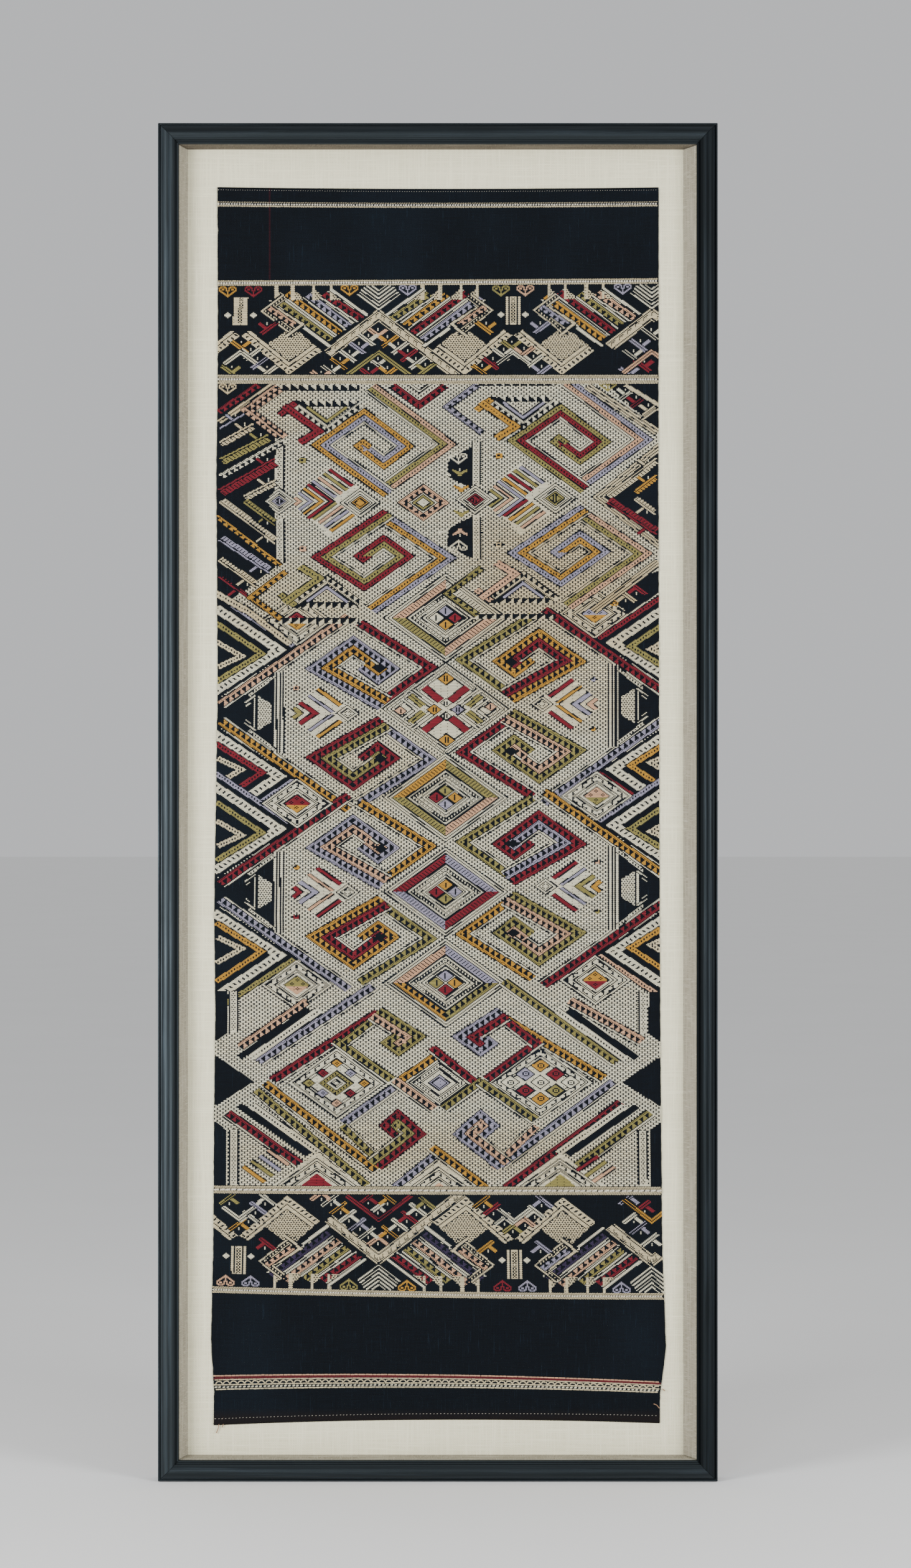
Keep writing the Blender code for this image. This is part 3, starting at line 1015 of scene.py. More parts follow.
@dataclass
class Field:
    """The main field: rows of paired spirals, their side zones and the rhombs below."""

    chart: Chart

    def draw(self) -> None:
        """The whole field, then its bare zones and figures from top to bottom."""
        self.chart.rice([(LEFT, TOP), (RIGHT, TOP), (RIGHT, BOTTOM), (LEFT, BOTTOM)])
        self.middle()
        self.upper()
        self.lower()

    def tooth_row(self, x: float, y: float, count: int, pitch: float, place: Place) -> None:
        """A row of pale triangles along the edge of a bare strip."""
        c = self.chart
        width = count * pitch
        c.block(place, (x, y), (x + width, y + 9), NONE)
        for i in range(count):
            left = x + i * pitch
            right = left + pitch * 0.75
            c.solid(place.at([(left, y), (right, y), (right, y + 9)]), W)

    def spot(self, x: float, y: float, thread: Thread, size: float = 5.0) -> None:
        """A small coloured spot with a dark wing on each side and a dark middle."""
        c = self.chart
        c.solid(diamond(x, y, (size * 1.9, size * 1.15)), NONE)
        c.block(HERE, (x - size, y - size * 0.8), (x + size, y + size * 0.8), thread)
        c.pattern(x, y, ["xx", "xx"], NONE)

    def gem(self, x: float, y: float, half: Point, thread: Thread) -> None:
        """A small coloured rhomb with two upright bars, in a pale key rim."""
        c = self.chart
        a, b = half
        c.rhomb(x, y, (a + 18, b + 13), [Lane(W, 5), Lane(W, 4.5)], W)
        c.rhomb(x, y, (a, b), plain(thread, 4), thread)
        for side in (-2.2, 2.2):
            c.block(HERE, (x + side - 0.9, y - b * 0.45), (x + side + 0.9, y + b * 0.45), NONE)

    def dotted_bar(self, x: float, low: float, high: float, place: Place) -> None:
        """An upright pale bar with a row of dark specks down its middle."""
        c = self.chart
        for half, thread in ((6.6, NONE), (5.4, W)):
            c.block(place, (x - half, low), (x + half, high), thread)
        for y in np.arange(low + 3.0, high - 2.0, 6.4):
            c.mark(place, x, float(y), ["x.x", "...", ".x.", "..."], NONE)
            c.mark(place, x + 8.8, float(y), ["xx", "x.", "xx", "x."], NONE)

    def feather(self, start: Point, end: Point, thread: Thread, width: float) -> None:
        """A slanting bar with a comb of dark slits, and a petal and stamen near its end.

        Args:
            start: where its outer line starts.
            end: where that line ends, up or down from the start.
            thread: its thread.
            width: its upright width.
        """
        c = self.chart
        up = 1 if end[1] < start[1] else -1
        place = Place(flip_y=up)
        (x, y), (far_x, far_y) = (start[0], start[1] * up), (end[0], end[1] * up)
        steep = (far_y - y) / (far_x - x)
        comb = [Lane(thread, 4.8), Lane(thread, width - 4.8, Teeth.COMB)]
        foot = [(far_x - 3, far_y - 3 * steep), (far_x + 4, far_y + 4 * steep)]
        c.trail(place, [(x, y), (far_x, far_y)], comb)
        c.trail(place, foot, plain(thread, 5))
        x, y = far_x - 10, far_y - 10 * steep
        c.trail(place, [(x - 11, y - 8), (x, y)], plain(thread, 6.5))
        c.block(place, (x + 2.4, y - 7), (x + 4.6, y - 2), W)

    def upper(self) -> None:
        """Two units of paired spirals over and under a chevron cluster."""
        left = HERE
        right = Place(317, -7)
        spirals = (
            (left, 797, (1, 1), (G, L, P, O)), (right, 797, (1, 1), (O, C, L, P)),
            (left, 815, (-1, 0.92), (C, O, L, G)), (right, 815, (-1, 0.92), (L, G, P, O)),
        )
        for unit, y, turned, threads in spirals:
            self.spiral_high(Place(unit.x + 615, unit.y + y, 1, *turned), threads[:2], threads[2:])
        self.upper_side(left, (P, G, C, O))
        self.upper_side(right, (L, O, G, P))
        self.cluster(Place(535, 803), (P, L, G, C), (L, P, O, C), (O, P, L, G))
        self.cluster(Place(843, 798), (G, O, P, L), (G, C, O, L), (C, G, O, P))
        gems = (
            (578, 805, (16, 12), G), (893, 798, (17, 13), O), (447, 803, (13, 10), L),
            (764, 800, (15, 12), C),
        )
        for gem in gems:
            self.gem(*gem)
        self.chart.rhomb(680, 805, (44, 31), toothed(P, 13), W)
        self.chart.rhomb(680, 805, (20, 14), plain(O, 5), W)
        self.left_margin()
        self.right_margin()
        self.gap_between()

    def spiral_high(self, place: Place, threads: Threads, shield: Threads) -> None:
        """A spiral of two narrow lanes and the shield that closes it on the right."""
        c = self.chart
        c.trail(place, [(-11, -185), (121, -86), (0, 0)], fine(*shield))
        c.trail(place, SPIRAL_HIGH, fine(*threads))

    def upper_side(self, unit: Place, tones: Threads) -> None:
        """What stands left of a unit's spirals: toothed angles, hooks and upright bars.

        Args:
            unit: the unit's place.
            tones: threads of the upper angle, the lower angle, the upper hook and the lower.
        """
        c = self.chart
        flipped = Place(unit.x, unit.y + 1606, 1, -1, 0.985)
        for place, angle, hook in ((unit, tones[0], tones[2]), (flipped, tones[1], tones[3])):
            self.tooth_row(443, 615, 10, 13.4, place)
            self.tooth_row(474, 641, 8, 12.6, place)
            c.solid(place.at([(468, 641), (480, 641), (528, 678), (526, 690)]), NONE)
            c.trail(place, [(480, 646), (525, 679), (572, 644)], toothed(W, 14))
            c.trail(place, [(495, 648), (524, 670), (554, 648)], plain(O if angle is P else L, 7))
            c.trail(place, [(443, 660), (468, 641)], toothed(hook, 13, Teeth.FINE))
            c.trail(place, [(461, 645), (524, 690), (486, 713)], toothed(hook, 14, Teeth.FINE))
            c.trail(place, [(453, 703), (392, 657), (446, 618)], toothed(angle, 12))
            self.dotted_bar(448, 714, 786, place)
            (dot,) = place.at([(485, 737)])
            self.spot(*dot, {P: O, G: P, L: G, O: K}[angle])

    def cluster(self, place: Place, chevrons: Threads, over: Threads, under: Threads) -> None:
        """Nested chevrons that point right, with four slanting bars over and under them.

        Args:
            place: the middle of the cluster.
            chevrons: threads from the innermost chevron out.
            over: threads of the upper bars from the left.
            under: threads of the lower bars from the left.
        """
        c = self.chart
        hull = [(-66, 0), (-6, -58), (42, -22), (14, 0), (42, 24), (-6, 58)]
        c.solid(place.at(hull), W)
        for i, thread in enumerate(chevrons):
            tip, reach = -48 + 17 * i, 12 + 10 * i
            path = [(tip - reach, -0.72 * reach), (tip, 0), (tip - reach, 0.72 * reach)]
            c.trail(place, path, plain(thread, 6.5))
        for i, thread in enumerate(over):
            x = -31 + 9 * i
            c.trail(place, [(x, -35 - 6.2 * i), (x + 38, -8.5 - 6.2 * i)], plain(thread, 7))
        for i, thread in enumerate(under):
            x = 8 + 9.5 * i
            c.trail(place, [(x, 4 + 6.4 * i), (x - 38, 31 + 6.4 * i)], plain(thread, 7))

    def left_margin(self) -> None:
        """Feathered bars on bare ground along the upper left edge."""
        c = self.chart
        bare = [
            (LEFT, TOP), (436, TOP), (384, 655), (441, 698), (441, 786), (424, 803), (441, 820),
            (441, 910), (384, 953), (LEFT, 990),
        ]
        c.solid(bare, NONE)
        c.pattern(363, 622, FIDDLE, K)
        c.band([(345, 655), (408, 612)], toothed(C, 13))
        c.band([(345, 672), (432, 612)], [Lane(K, 6)] * 2)
        for start, end in (((384, 655), (440, 614)), ((392, 650), (453, 696))):
            c.band([start, end], toothed(P, 12))
        c.band([(348, 759), (450, 701)], toothed(W, 12.5))
        bars = (
            (349, 684, 384, 663, L, 5), (348, 706, 399, 678, K, 14), (349, 733, 424, 695, O, 16),
            (347, 783, 434, 734, C, 18), (387, 793, 436, 768, K, 13), (387, 806, 434, 841, O, 14),
            (348, 806, 434, 870, K, 16), (348, 868, 424, 918, L, 16), (347, 901, 403, 940, K, 14),
            (347, 927, 389, 956, C, 8),
        )
        for x, y, far_x, far_y, thread, width in bars:
            self.feather((x, y), (far_x, far_y), thread, width)
        c.band([(350, 824), (453, 904)], toothed(G, 11))
        c.band([(347, 945), (400, 975), (470, 1030)], toothed(K, 14, Teeth.FINE))

    def right_margin(self) -> None:
        """Pale angles and feathered bars on bare ground along the upper right edge."""
        c = self.chart
        c.solid([(975, TOP), (RIGHT, TOP), (RIGHT, 690), (1052, 682)], NONE)
        c.band([(950, 612), (1066, 688)], TRIPLE)
        c.pattern(977, 618, FIDDLE, O)
        for x, y, thread in ((1007, 628, W), (1024, 641, C), (1044, 654, K)):
            c.sprig(HERE, x, y, thread, -1)
        c.band([(1010, 612), (1066, 646)], plain(K, 9))
        c.band([(1030, 670), (1060, 650)], plain(K, 5))
        c.solid([(RIGHT, 690), (952, 796), (RIGHT, 892)], NONE)
        c.band([(1070, 890), (952, 796), (1070, 700)], TRIPLE)
        c.solid([(1075, 720), (980, 796), (1075, 868)], NONE)
        bars = (
            (974, 792, 1050, 735, K, 15), (974, 806, 1050, 856, C, 16),
            (1018, 786, 1050, 762, G, 13), (1018, 801, 1048, 823, K, 13),
        )
        for x, y, far_x, far_y, thread, width in bars:
            self.feather((x, y), (far_x, far_y), thread, width)
        c.solid([(RIGHT, 905), (1030, 925), (990, 960), (1010, 985), (RIGHT, 930)], NONE)
        over = Place(flip_y=-1)
        c.sprig(over, 1024, -946, C, -1)
        c.pattern(980, 963, FIDDLE, G, over)
        c.sprig(over, 1007, -958, K, -1)
        c.band([(1066, 905), (960, 985)], TRIPLE)

    def gap_between(self) -> None:
        """Hooked figures and birds on the bare ground between the two upper units."""
        c = self.chart
        c.band([(636, 612), (673, 640), (710, 612)], toothed(C, 14))
        c.band([(660, 612), (674, 622), (688, 612)], plain(W, 5))
        for y, flip, bird in ((748, 1, O), (860, -1, P)):
            c.solid([(757, y - 32), (722, y - 14), (718, y + 14), (757, y + 34)], NONE)
            figures = ((739, 8, BIRD, bird), (737, -14, FIDDLE, W), (716, 10, HOOK, W))
            for x, low, rows, thread in figures:
                c.pattern(x, y + low * flip, rows, thread, Place(flip_y=flip))
        c.pattern(741, 783, BIRD, G)
        c.pattern(741, 822, BIRD, O)

    def middle(self) -> None:
        """Four rows of broad spirals, mirrored about the middle of the cloth."""
        units = (
            (1145, -1, 1, (L, G), C, P, (O, L)), (1145, -1, -1, (C, O), L, G, (C, L)),
            (1434, -1, 1, (L, P), G, C, (O, L)), (1434, -1, -1, (G, C), O, L, (G, O)),
            (1133, 1, 1, (G, C), O, C, (O, C)), (1133, 1, -1, (O, P), C, L, (G, C)),
            (1427, 1, 1, (C, L), O, G, (O, L)), (1427, 1, -1, (O, P), G, C, (G, P)),
        )
        for y, side, up, threads, shield, band, inner in units:
            self.quadrant(Place(717, y, -side, up), threads, shield, band, inner)
        for place, chevrons, spots in (
            (Place(512, 1145), (O, C, L, G), (P, W)),
            (Place(512, 1434), (C, L, P, C), (G, C)),
            (Place(918, 1130, -1), (P, L, G, C), (L, G)),
            (Place(924, 1424, -1), (G, O, L, C), (P, O)),
        ):
            self.broad_cluster(place, chevrons, spots)
        self.star(716, 1138)
        key_rhombs = (
            (476, 996, C, G), (476, 1291, C, G), (476, 1584, O, P),
            (957, 984, L, G), (960, 1278, P, O), (958, 1575, G, C),
        )
        for key_rhomb in key_rhombs:
            self.key_rhomb(*key_rhomb)
        fringed_rhombs = (
            (991, (P, W, P, O), (L, C, G, W)), (1281, (G, O, P, O), (O, G, L, C)),
            (1433, (C, L, C, L), (G, L, O, C)), (1580, (P, L, O, G), (L, G, C, O), Teeth.BOLD),
        )
        for fringed_rhomb in fringed_rhombs:
            self.fringed_rhomb(716, *fringed_rhomb)

    def quadrant(
        self,
        place: Place,
        threads: Threads,
        shield: Thread,
        band: Thread,
        inner: Threads,
    ) -> None:
        """A quarter of a middle unit: its side zone, side band, shield and spiral.

        Args:
            place: the unit's middle, on the cloth's middle line, turned over as needed.
            threads: the spiral's outer and inner lanes.
            shield: the lane that closes the spiral towards the middle.
            band: the long toothed band that runs to the edge.
            inner: threads of the angle in the side zone and of the band over it.
        """
        c = self.chart
        c.solid(place.at([(-400, -25), (-370, -22), (-278, -70), (-278, 0), (-400, 0)]), NONE)
        zone = [(-400, -195), (-368, -195), (-240, -108), (-370, -22), (-400, -22)]
        c.solid(place.at(zone), NONE)
        c.trail(place, [(-368, -195), (-242, -112)], toothed(inner[1], 11, Teeth.FINE))
        c.trail(place, [(-369, -178), (-254, -102), (-369, -27)], [Lane(W, 19, Teeth.DASHES)])
        c.trail(place, [(-367, -149), (-287, -96), (-367, -46)], toothed(inner[0], 12, Teeth.FINE))
        c.trail(place, [(-367, -119), (-318, -91), (-365, -69)], toothed(K, 11, Teeth.FINE))
        c.trail(place, [(-371, -18), (-164, -161)], bold(band))
        c.trail(place, [(-134, -151), (-12, -75), (-106, -9)], bold(shield))
        swirl = [(x - 111, y - 4) for x, y in SPIRAL_BROAD]
        c.trail(place, swirl, bold(*threads))
        (eye,) = place.at([(-106, -72)])
        c.rhomb(*eye, (13, 9), plain(threads[1], 2.4), NONE)
        for x in (-276.5, -271, -265.5):
            c.block(place, (x - 1.6, -66), (x + 1.6, 0), W)
        for x in (-279.5, -273.8, -268.2, -262.6):
            c.block(place, (x - 1.2, -66), (x + 1.2, 0), NONE)
        c.trail(place, [(-322, -30), (-281, -62)], toothed(W, 8, Teeth.FINE))
        c.checks(place.at([(-304, -28), (-282, -14), (-282, 0), (-304, 0)]), W)
        c.block(place, (-311, -28), (-308, 0), W)
        c.trail(place, [(-328, -18), (-310, -30)], plain(W, 4.5))
        c.trail(place, [(-326, -12), (-318, -18)], plain(W, 4))

    def key_rhomb(self, x: float, y: float, core: Thread, other: Thread) -> None:
        """A rhomb of squared hooks round a ringed core, its lower half in another thread."""
        c = self.chart
        c.rhomb(x, y, (60, 42), KEY_RIM, W)
        self.lozenge(x, y, (23, 16), core, ())
        c.solid([(x - 19, y + 2), (x + 19, y + 2), (x, y + 15)], other)
        for dx, dy in ((0, -8), (-9, -2), (9, -2), (0, 7)):
            c.pattern(x + dx, y + dy, RING, NONE)

    def broad_cluster(self, place: Place, threads: Threads, spots: Threads) -> None:
        """Chevrons between two spirals, pointing to the middle, with a small checked rhomb."""
        c = self.chart
        c.solid(place.at([(-48, 0), (0, -42), (60, 0), (0, 42)]), W)
        c.trail(place, [(-38, -11), (-24, 0), (-38, 11)], plain(threads[0], 9))
        c.trail(place, [(-28, -20), (2, 0), (-28, 20)], plain(threads[1], 9))
        c.trail(place, [(-15, -31), (26, -3), (26, 3), (-15, 31)], plain(threads[2], 6))
        c.trail(place, [(0, -42), (38, -15)], plain(threads[3], 8))
        c.trail(place, [(38, 15), (0, 42)], plain(threads[3], 8))
        (tip,) = place.at([(46, 0)])
        c.rhomb(*tip, (20, 14), plain(W, 5), W)
        c.pattern(*tip, [".x.x.", "x...x", ".....", "x...x", ".x.x."], NONE, place)
        for side, thread in zip((-1, 1), spots):
            (dot,) = place.at([(-37, 40 * side)])
            if thread is not W:
                self.spot(*dot, thread, 4.0)

    def lozenge(
        self,
        x: float,
        y: float,
        half: Point,
        thread: Thread,
        bars: tuple[float, ...] = (0.0,),
    ) -> None:
        """A small rhomb in a thin dark line, with upright bars this far from its middle."""
        c = self.chart
        c.rhomb(x, y, half, [Lane(thread, half[1])], thread)
        for bar in bars:
            left, tall = x + bar - 1.1, half[1] * 0.42
            c.block(HERE, (left, y - tall), (left + 2.2, y + tall), NONE)

    def star(self, x: float, y: float) -> None:
        """The flower of slanting blocks and small rhombs in the middle of the cloth."""
        c = self.chart
        c.rhomb(x, y, (104, 76), [Lane(W, 5.2, Teeth.RUNGS)] * 3, W)
        for side, up in ((-1, -1), (-1, 1), (1, -1), (1, 1)):
            place = Place(x, y, side, up)
            c.trail(place, [(2, -17), (29, -39)], plain(C, 15))
            c.trail(place, [(17, -9), (50, -34)], [Lane(W, 6)] * 2)
            c.trail(place, [(31, -8), (52, -25)], [Lane(O, 6.5)] * 2)
            c.trail(place, [(44, 0), (66, -17)], plain(W, 6))
        large, broad, small, outer = (15.5, 11.5), (13.5, 9.5), (11, 8), (12, 8.5)
        for right, down, half, thread in (
            (1, -49, large, G), (1, 50, large, G), (-18.5, 1, broad, G), (20, 1, broad, L),
            (1, -10, small, W), (1, 11.5, small, W),
        ):
            self.lozenge(x + right, y + down, half, thread, (-2.2, 2.2))
        for right, down in ((-73, 3), (73, -4)):
            self.lozenge(x + right, y + down, outer, P)

    def fringed_rhomb(
        self,
        x: float,
        y: float,
        sides: Threads,
        core: Threads,
        lower: Teeth = Teeth.COMB,
    ) -> None:
        """A broad rhomb: a combed rim in four threads, rows of bricks and a quartered heart.

        Args:
            x: sheet place of its middle.
            y: sheet place of its middle.
            sides: threads of the rim, clockwise from the upper left side.
            core: threads of the heart, clockwise from the top.
            lower: teeth of the rim's two lower sides.
        """
        c = self.chart
        a, b = 88.0, 63.0
        c.rhomb(x, y, (a + 14, b + 10), [Lane(W, 5)] * 2, W)
        corners = diamond(x, y, (a, b))
        for i, thread in enumerate(sides):
            ends = corners[i], corners[(i + 1) % 4]
            rim = Lane(thread, 15.5, lower if i > 1 else Teeth.COMB)
            beyond = corners[i - 1], corners[(i + 2) % 4]
            c.stretch_of_band(*ends, *beyond, [rim], rim.width + c.line, True)
        rows = [Lane(W, 4.4), Lane(W, 6, Teeth.FINE), Lane(W, 6, Teeth.RUNGS), Lane(W, 5)]
        c.rhomb(x, y, (a - 24, b - 17.5), rows, W)
        for (gx, gy), thread in zip(((0, -11), (15, 0), (0, 11), (-15, 0)), core):
            self.lozenge(x + gx, y + gy, (14.5, 10.5), thread)

    def lower(self) -> None:
        """The two large rhombs, the hooks round them and the arms that reach the edges."""
        c = self.chart
        self.great_rhomb(540, 1742, (80, 58), (O, C, O))
        self.great_rhomb(869, 1740, (87, 60), ())
        c.rhomb(706, 1741, (50, 37), [Lane(W, 4), Lane(W, 8, Teeth.FINE), Lane(W, 3)], W)
        c.rhomb(706, 1741, (19, 14), plain(L, 4), L)
        bands = (
            (430, 1733, 601, 1623, C), (430, 1738, 611, 1878, G), (545, 1668, 636, 1732, O),
            (545, 1802, 636, 1737, L), (636, 1733, 700, 1689, G), (640, 1732, 705, 1778, P),
            (705, 1778, 770, 1731, O), (628, 1906, 700, 1848, L), (700, 1680, 768, 1735, C),
            (778, 1734, 868, 1796, O), (801, 1622, 978, 1728, G), (797, 1870, 981, 1734, L),
            (378, 1680, 487, 1605, P), (407, 1703, 593, 1580, L), (416, 1750, 595, 1903, O),
            (370, 1786, 487, 1868, C), (816, 1572, 997, 1703, O), (922, 1602, 1040, 1668, P),
            (808, 1905, 993, 1768, C), (918, 1874, 1040, 1784, O), (700, 1840, 787, 1906, G),
            (776, 1731, 862, 1668, C),
        )
        for x, y, far_x, far_y, thread in bands:
            c.band([(x, y), (far_x, far_y)], bold(thread))
        self.arm_of_dashes(Place(347, 1740))
        self.arm_of_dashes(Place(1061, 1740, -1))
        for place, first, threads in (
            (Place(614, 1620), O, (O, P)), (Place(613, 1881, 1, -1, 1.24), O, (C, O)),
            (Place(798, 1620, -1), C, (L, C)), (Place(799, 1881, -1, -1, 1.24), P, (L, P)),
        ):
            self.hook(place, first, threads)
        for x, y, thread in ((508, 1908, C), (901, 1908, O), (705, 1922, P)):
            self.key_peak(x, y, thread)
        self.stripes(420, 1882, (P, L, O, G), 1)
        self.stripes(971, 1890, (C, O, P), -1)

    def great_rhomb(self, x: float, y: float, half: Point, threads: Threads) -> None:
        """A large rhomb: a rim of curls, small rhombs along its sides and a ring in its heart.

        Args:
            x: sheet place of its middle.
            y: sheet place of its middle.
            half: its half width and half height.
            threads: threads of the ring and of the small rhombs beside it. With none, the
                heart holds nine larger rhombs.
        """
        c = self.chart
        step_x, step_y = half[0] * 0.14, half[1] * 0.14
        c.rhomb(x, y, half, [Lane(W, 5.4), Lane(W, 11, Teeth.KEY), Lane(W, 4.6)], W)
        if not threads:
            for i, thread in enumerate((G, C, W, L, W, O, W, C, G)):
                u, v = i // 3 - 1, i % 3 - 1
                spot = x + (v - u) * step_x * 2, y + (u + v) * step_y * 1.6
                self.lozenge(*spot, (17, 12), thread, ())
                c.pattern(*spot, [".xxx.", "x...x", "x.x.x", "x...x", ".xxx."], NONE)
            return
        tones = {
            (-2, -2): G, (-2, 0): threads[1], (0, -2): L, (2, -2): G,
            (2, 0): threads[1], (2, 2): P, (0, 2): L, (-2, 2): threads[2],
        }
        for u in range(-2, 3):
            for v in range(-2, 3):
                if (u, v) in tones:
                    spot = x + (u - v) * step_x, y + (u + v) * step_y
                    self.lozenge(*spot, (step_x, step_y), tones[u, v], ())
                    c.pattern(*spot, RING, NONE)
        c.rhomb(x, y, (2.6 * step_x, 2.6 * step_y), toothed(threads[0], 8, Teeth.FINE), W)
        c.rhomb(x, y, (step_x, step_y), plain(W, 3), W)

    def arm_of_dashes(self, place: Place) -> None:
        """The edge zone beside a large rhomb: two pale arms, a bare triangle and long slots."""
        c = self.chart
        c.solid(place.at([(-40, -40), (0, -40), (60, 0), (0, 38), (-40, 38)]), NONE)
        c.solid(place.at([(-40, -145), (17, -145), (17, -78), (0, -66), (-40, -66)]), NONE)
        c.solid(place.at([(-40, 170), (14, 170), (14, 78), (0, 66), (-40, 66)]), NONE)
        for low, high in ((-145, -78), (78, 170)):
            self.dotted_bar(26, low, high, place)
        for up in (-1, 1):
            near = Place(place.x, place.y, place.flip_x, -up)
            c.trail(near, [(40, 35.5), (152, 114)], [Lane(NONE, 12)], edged=False)
            c.trail(near, [(61, 34), (170, 110.5)], toothed(W, 15, Teeth.FINE))

    def hook(self, place: Place, first: Thread, threads: Threads) -> None:
        """A squared hook of two lanes beside a large rhomb, one lane wide where it starts."""
        path = [(-70, 54), (0, -1), (74, 46), (26, 80), (-6, 57), (18, 40)]
        self.chart.trail(place, path[:2], bold(first))
        self.chart.trail(place, path[1:], bold(*threads))

    def key_peak(self, x: float, y: float, thread: Thread) -> None:
        """A peak of key pattern over a coloured triangle, cut off by the border."""
        c = self.chart
        c.solid([(x - 72, y), (x, y - 54), (x + 72, y)], W)
        c.band([(x - 66, y), (x, y - 46), (x + 66, y)], KEY_RIM)
        c.solid([(x - 26, y), (x, y - 20), (x + 26, y)], thread)

    def stripes(self, x: float, y: float, threads: Threads, side: int) -> None:
        """A fan of short slanting bars, one of each thread."""
        c = self.chart
        place = Place(x, y, side)
        for i, thread in enumerate(threads):
            c.trail(
                place, [(12 - 13 * i, -34 + 9 * i), (46 - 13 * i, -10 + 9 * i)], plain(thread, 8),
            )


BORDER_STRIPS = ((440, 614), (1908, 2100))
TWINED_STRIPS = ((447, 455), (598, 613), (1909, 1922))


def draw_cloth(chart: Chart) -> None:
    """The field, then both borders, each on strips of bare ground."""
    for drawing, strips in ((Field(chart), BORDER_STRIPS), (Borders(chart), TWINED_STRIPS)):
        drawing.draw()
        for low, high in strips:
            chart.block(HERE, (LEFT, low), (RIGHT, high), NONE)


THREAD_COLOURS: dict[Thread, Colour] = {
    Thread.WHITE: linear(180, 175, 152),
    Thread.CREAM: linear(174, 162, 130),
    Thread.CRIMSON: linear(100, 9, 25),
    Thread.GOLD: linear(156, 113, 33),
    Thread.OLIVE: linear(117, 109, 58),
    Thread.LAVENDER: linear(124, 120, 136),
    Thread.PEACH: linear(172, 134, 104),
    Thread.PURPLE: linear(40, 30, 56),
    Thread.STITCH: linear(218, 211, 194),
}


@dataclass(frozen=True)
class Fade:
    """A stretch of the field where the pale weft has aged to another tone."""

    x: float
    y: float
    reach_x: float
    reach_y: float
    tone: Colour

    def share(self, x: Array, y: Array) -> Array:
        """How far each sheet place has aged, 0 to 1."""
        return np.exp(-(((x - self.x) / self.reach_x) ** 4) - ((y - self.y) / self.reach_y) ** 4)


FADES = (
    Fade(890.0, 925.0, 150.0, 105.0, (0.84, 0.74, 0.6)),
    Fade(900.0, 1090.0, 140.0, 80.0, (0.95, 0.89, 0.8)),
    Fade(400.0, 640.0, 120.0, 60.0, (0.97, 0.9, 0.8)),
    Fade(480.0, 960.0, 110.0, 60.0, (0.93, 0.86, 0.75)),
    Fade(620.0, 1240.0, 90.0, 60.0, (0.98, 0.93, 0.84)),
    Fade(700.0, 1850.0, 330.0, 50.0, (0.95, 0.89, 0.79)),
)


@dataclass
class Floats:
    """Short lengths of thread on the cloth's face, as arrays with one row for each."""

    centre: Array
    half: Array
    wide: Array
    lift: Array
    taper: Array
    colour: Array

    @staticmethod
    def joined(parts: list["Floats"]) -> "Floats":
        """All the floats of several sets."""
        columns = ([getattr(part, item.name) for part in parts] for item in fields(Floats))
        return Floats(*map(np.concatenate, columns))

    def some(self, chosen: Array) -> "Floats":
        """The chosen floats."""
        return Floats(*(getattr(self, item.name)[chosen] for item in fields(self)))


@dataclass
class FloatMesher:
    """Turns floats into one mesh of low ridges with tapered ends that dip into the cloth.

    Each corner of a float's form is its end, how many tapers it lies back from that end,
    its share of the breadth and its share of the lift.
    """

    shape: ClothShape
    sunk: float = 0.06 * MM
    form: tuple[tuple[float, float, float, float], ...] = (
        (-1, 0.0, 0.0, 0.0), (-1, 0.45, -0.74, 0.0), (-1, 1.0, -1.0, 0.0), (1, 1.0, -1.0, 0.0),
        (1, 0.45, -0.74, 0.0), (1, 0.0, 0.0, 0.0), (1, 0.45, 0.74, 0.0), (1, 1.0, 1.0, 0.0),
        (-1, 1.0, 1.0, 0.0), (-1, 0.45, 0.74, 0.0), (-1, 0.8, 0.0, 1.0), (1, 0.8, 0.0, 1.0),
    )
    facets: tuple[tuple[int, int, int], ...] = (
        (0, 1, 10), (1, 2, 10), (2, 11, 10), (2, 3, 11), (3, 4, 11), (4, 5, 11),
        (5, 6, 11), (6, 7, 11), (7, 10, 11), (7, 8, 10), (8, 9, 10), (9, 0, 10),
    )

    def corners(self, floats: Floats) -> Array:
        """Vertices of each float, in the row frame, as floats by vertices by three."""
        length = np.hypot(floats.half[:, 0], floats.half[:, 1])
        along = floats.half / length[:, None]
        across = np.stack([-along[:, 1], along[:, 0]], 1)
        tip = np.minimum(floats.taper * floats.wide / length, 0.66)
        side, back, breadth, high = np.array(self.form).T
        reach = length[:, None] * side * (1 - back * tip[:, None])
        flat = floats.centre[:, None, :] + along[:, None, :] * reach[..., None]
        flat = flat + across[:, None, :] * (floats.wide[:, None] * breadth)[..., None]
        x, z = flat[..., 0], flat[..., 1]
        rise = (floats.lift[:, None] + self.sunk) * high
        return np.stack([x, self.shape.surface(x, z) + self.sunk - rise, z], -1)

    def make(self, name: str, floats: Floats, finish: Material) -> Piece:
        """One joined piece of all these floats.

        Args:
            name: the piece's name.
            floats: what it holds.
            finish: its material.

        Returns:
            The new object.
        """
        corners = self.corners(floats)
        first = np.arange(len(corners)) * len(self.form)
        faces = (first[:, None, None] + np.array(self.facets)[None]).reshape(-1, 3)
        piece = mesh_piece(name, corners.reshape(-1, 3), faces, finish)
        dye = np.repeat(floats.colour, len(self.form), 0)
        layer = piece.data.attributes.new(FloatSilk.attribute, "FLOAT_COLOR", "POINT")
        layer.data.foreach_set(
            "color", np.column_stack([dye, np.ones(len(dye))]).astype(np.float32).ravel(),
        )
        return piece


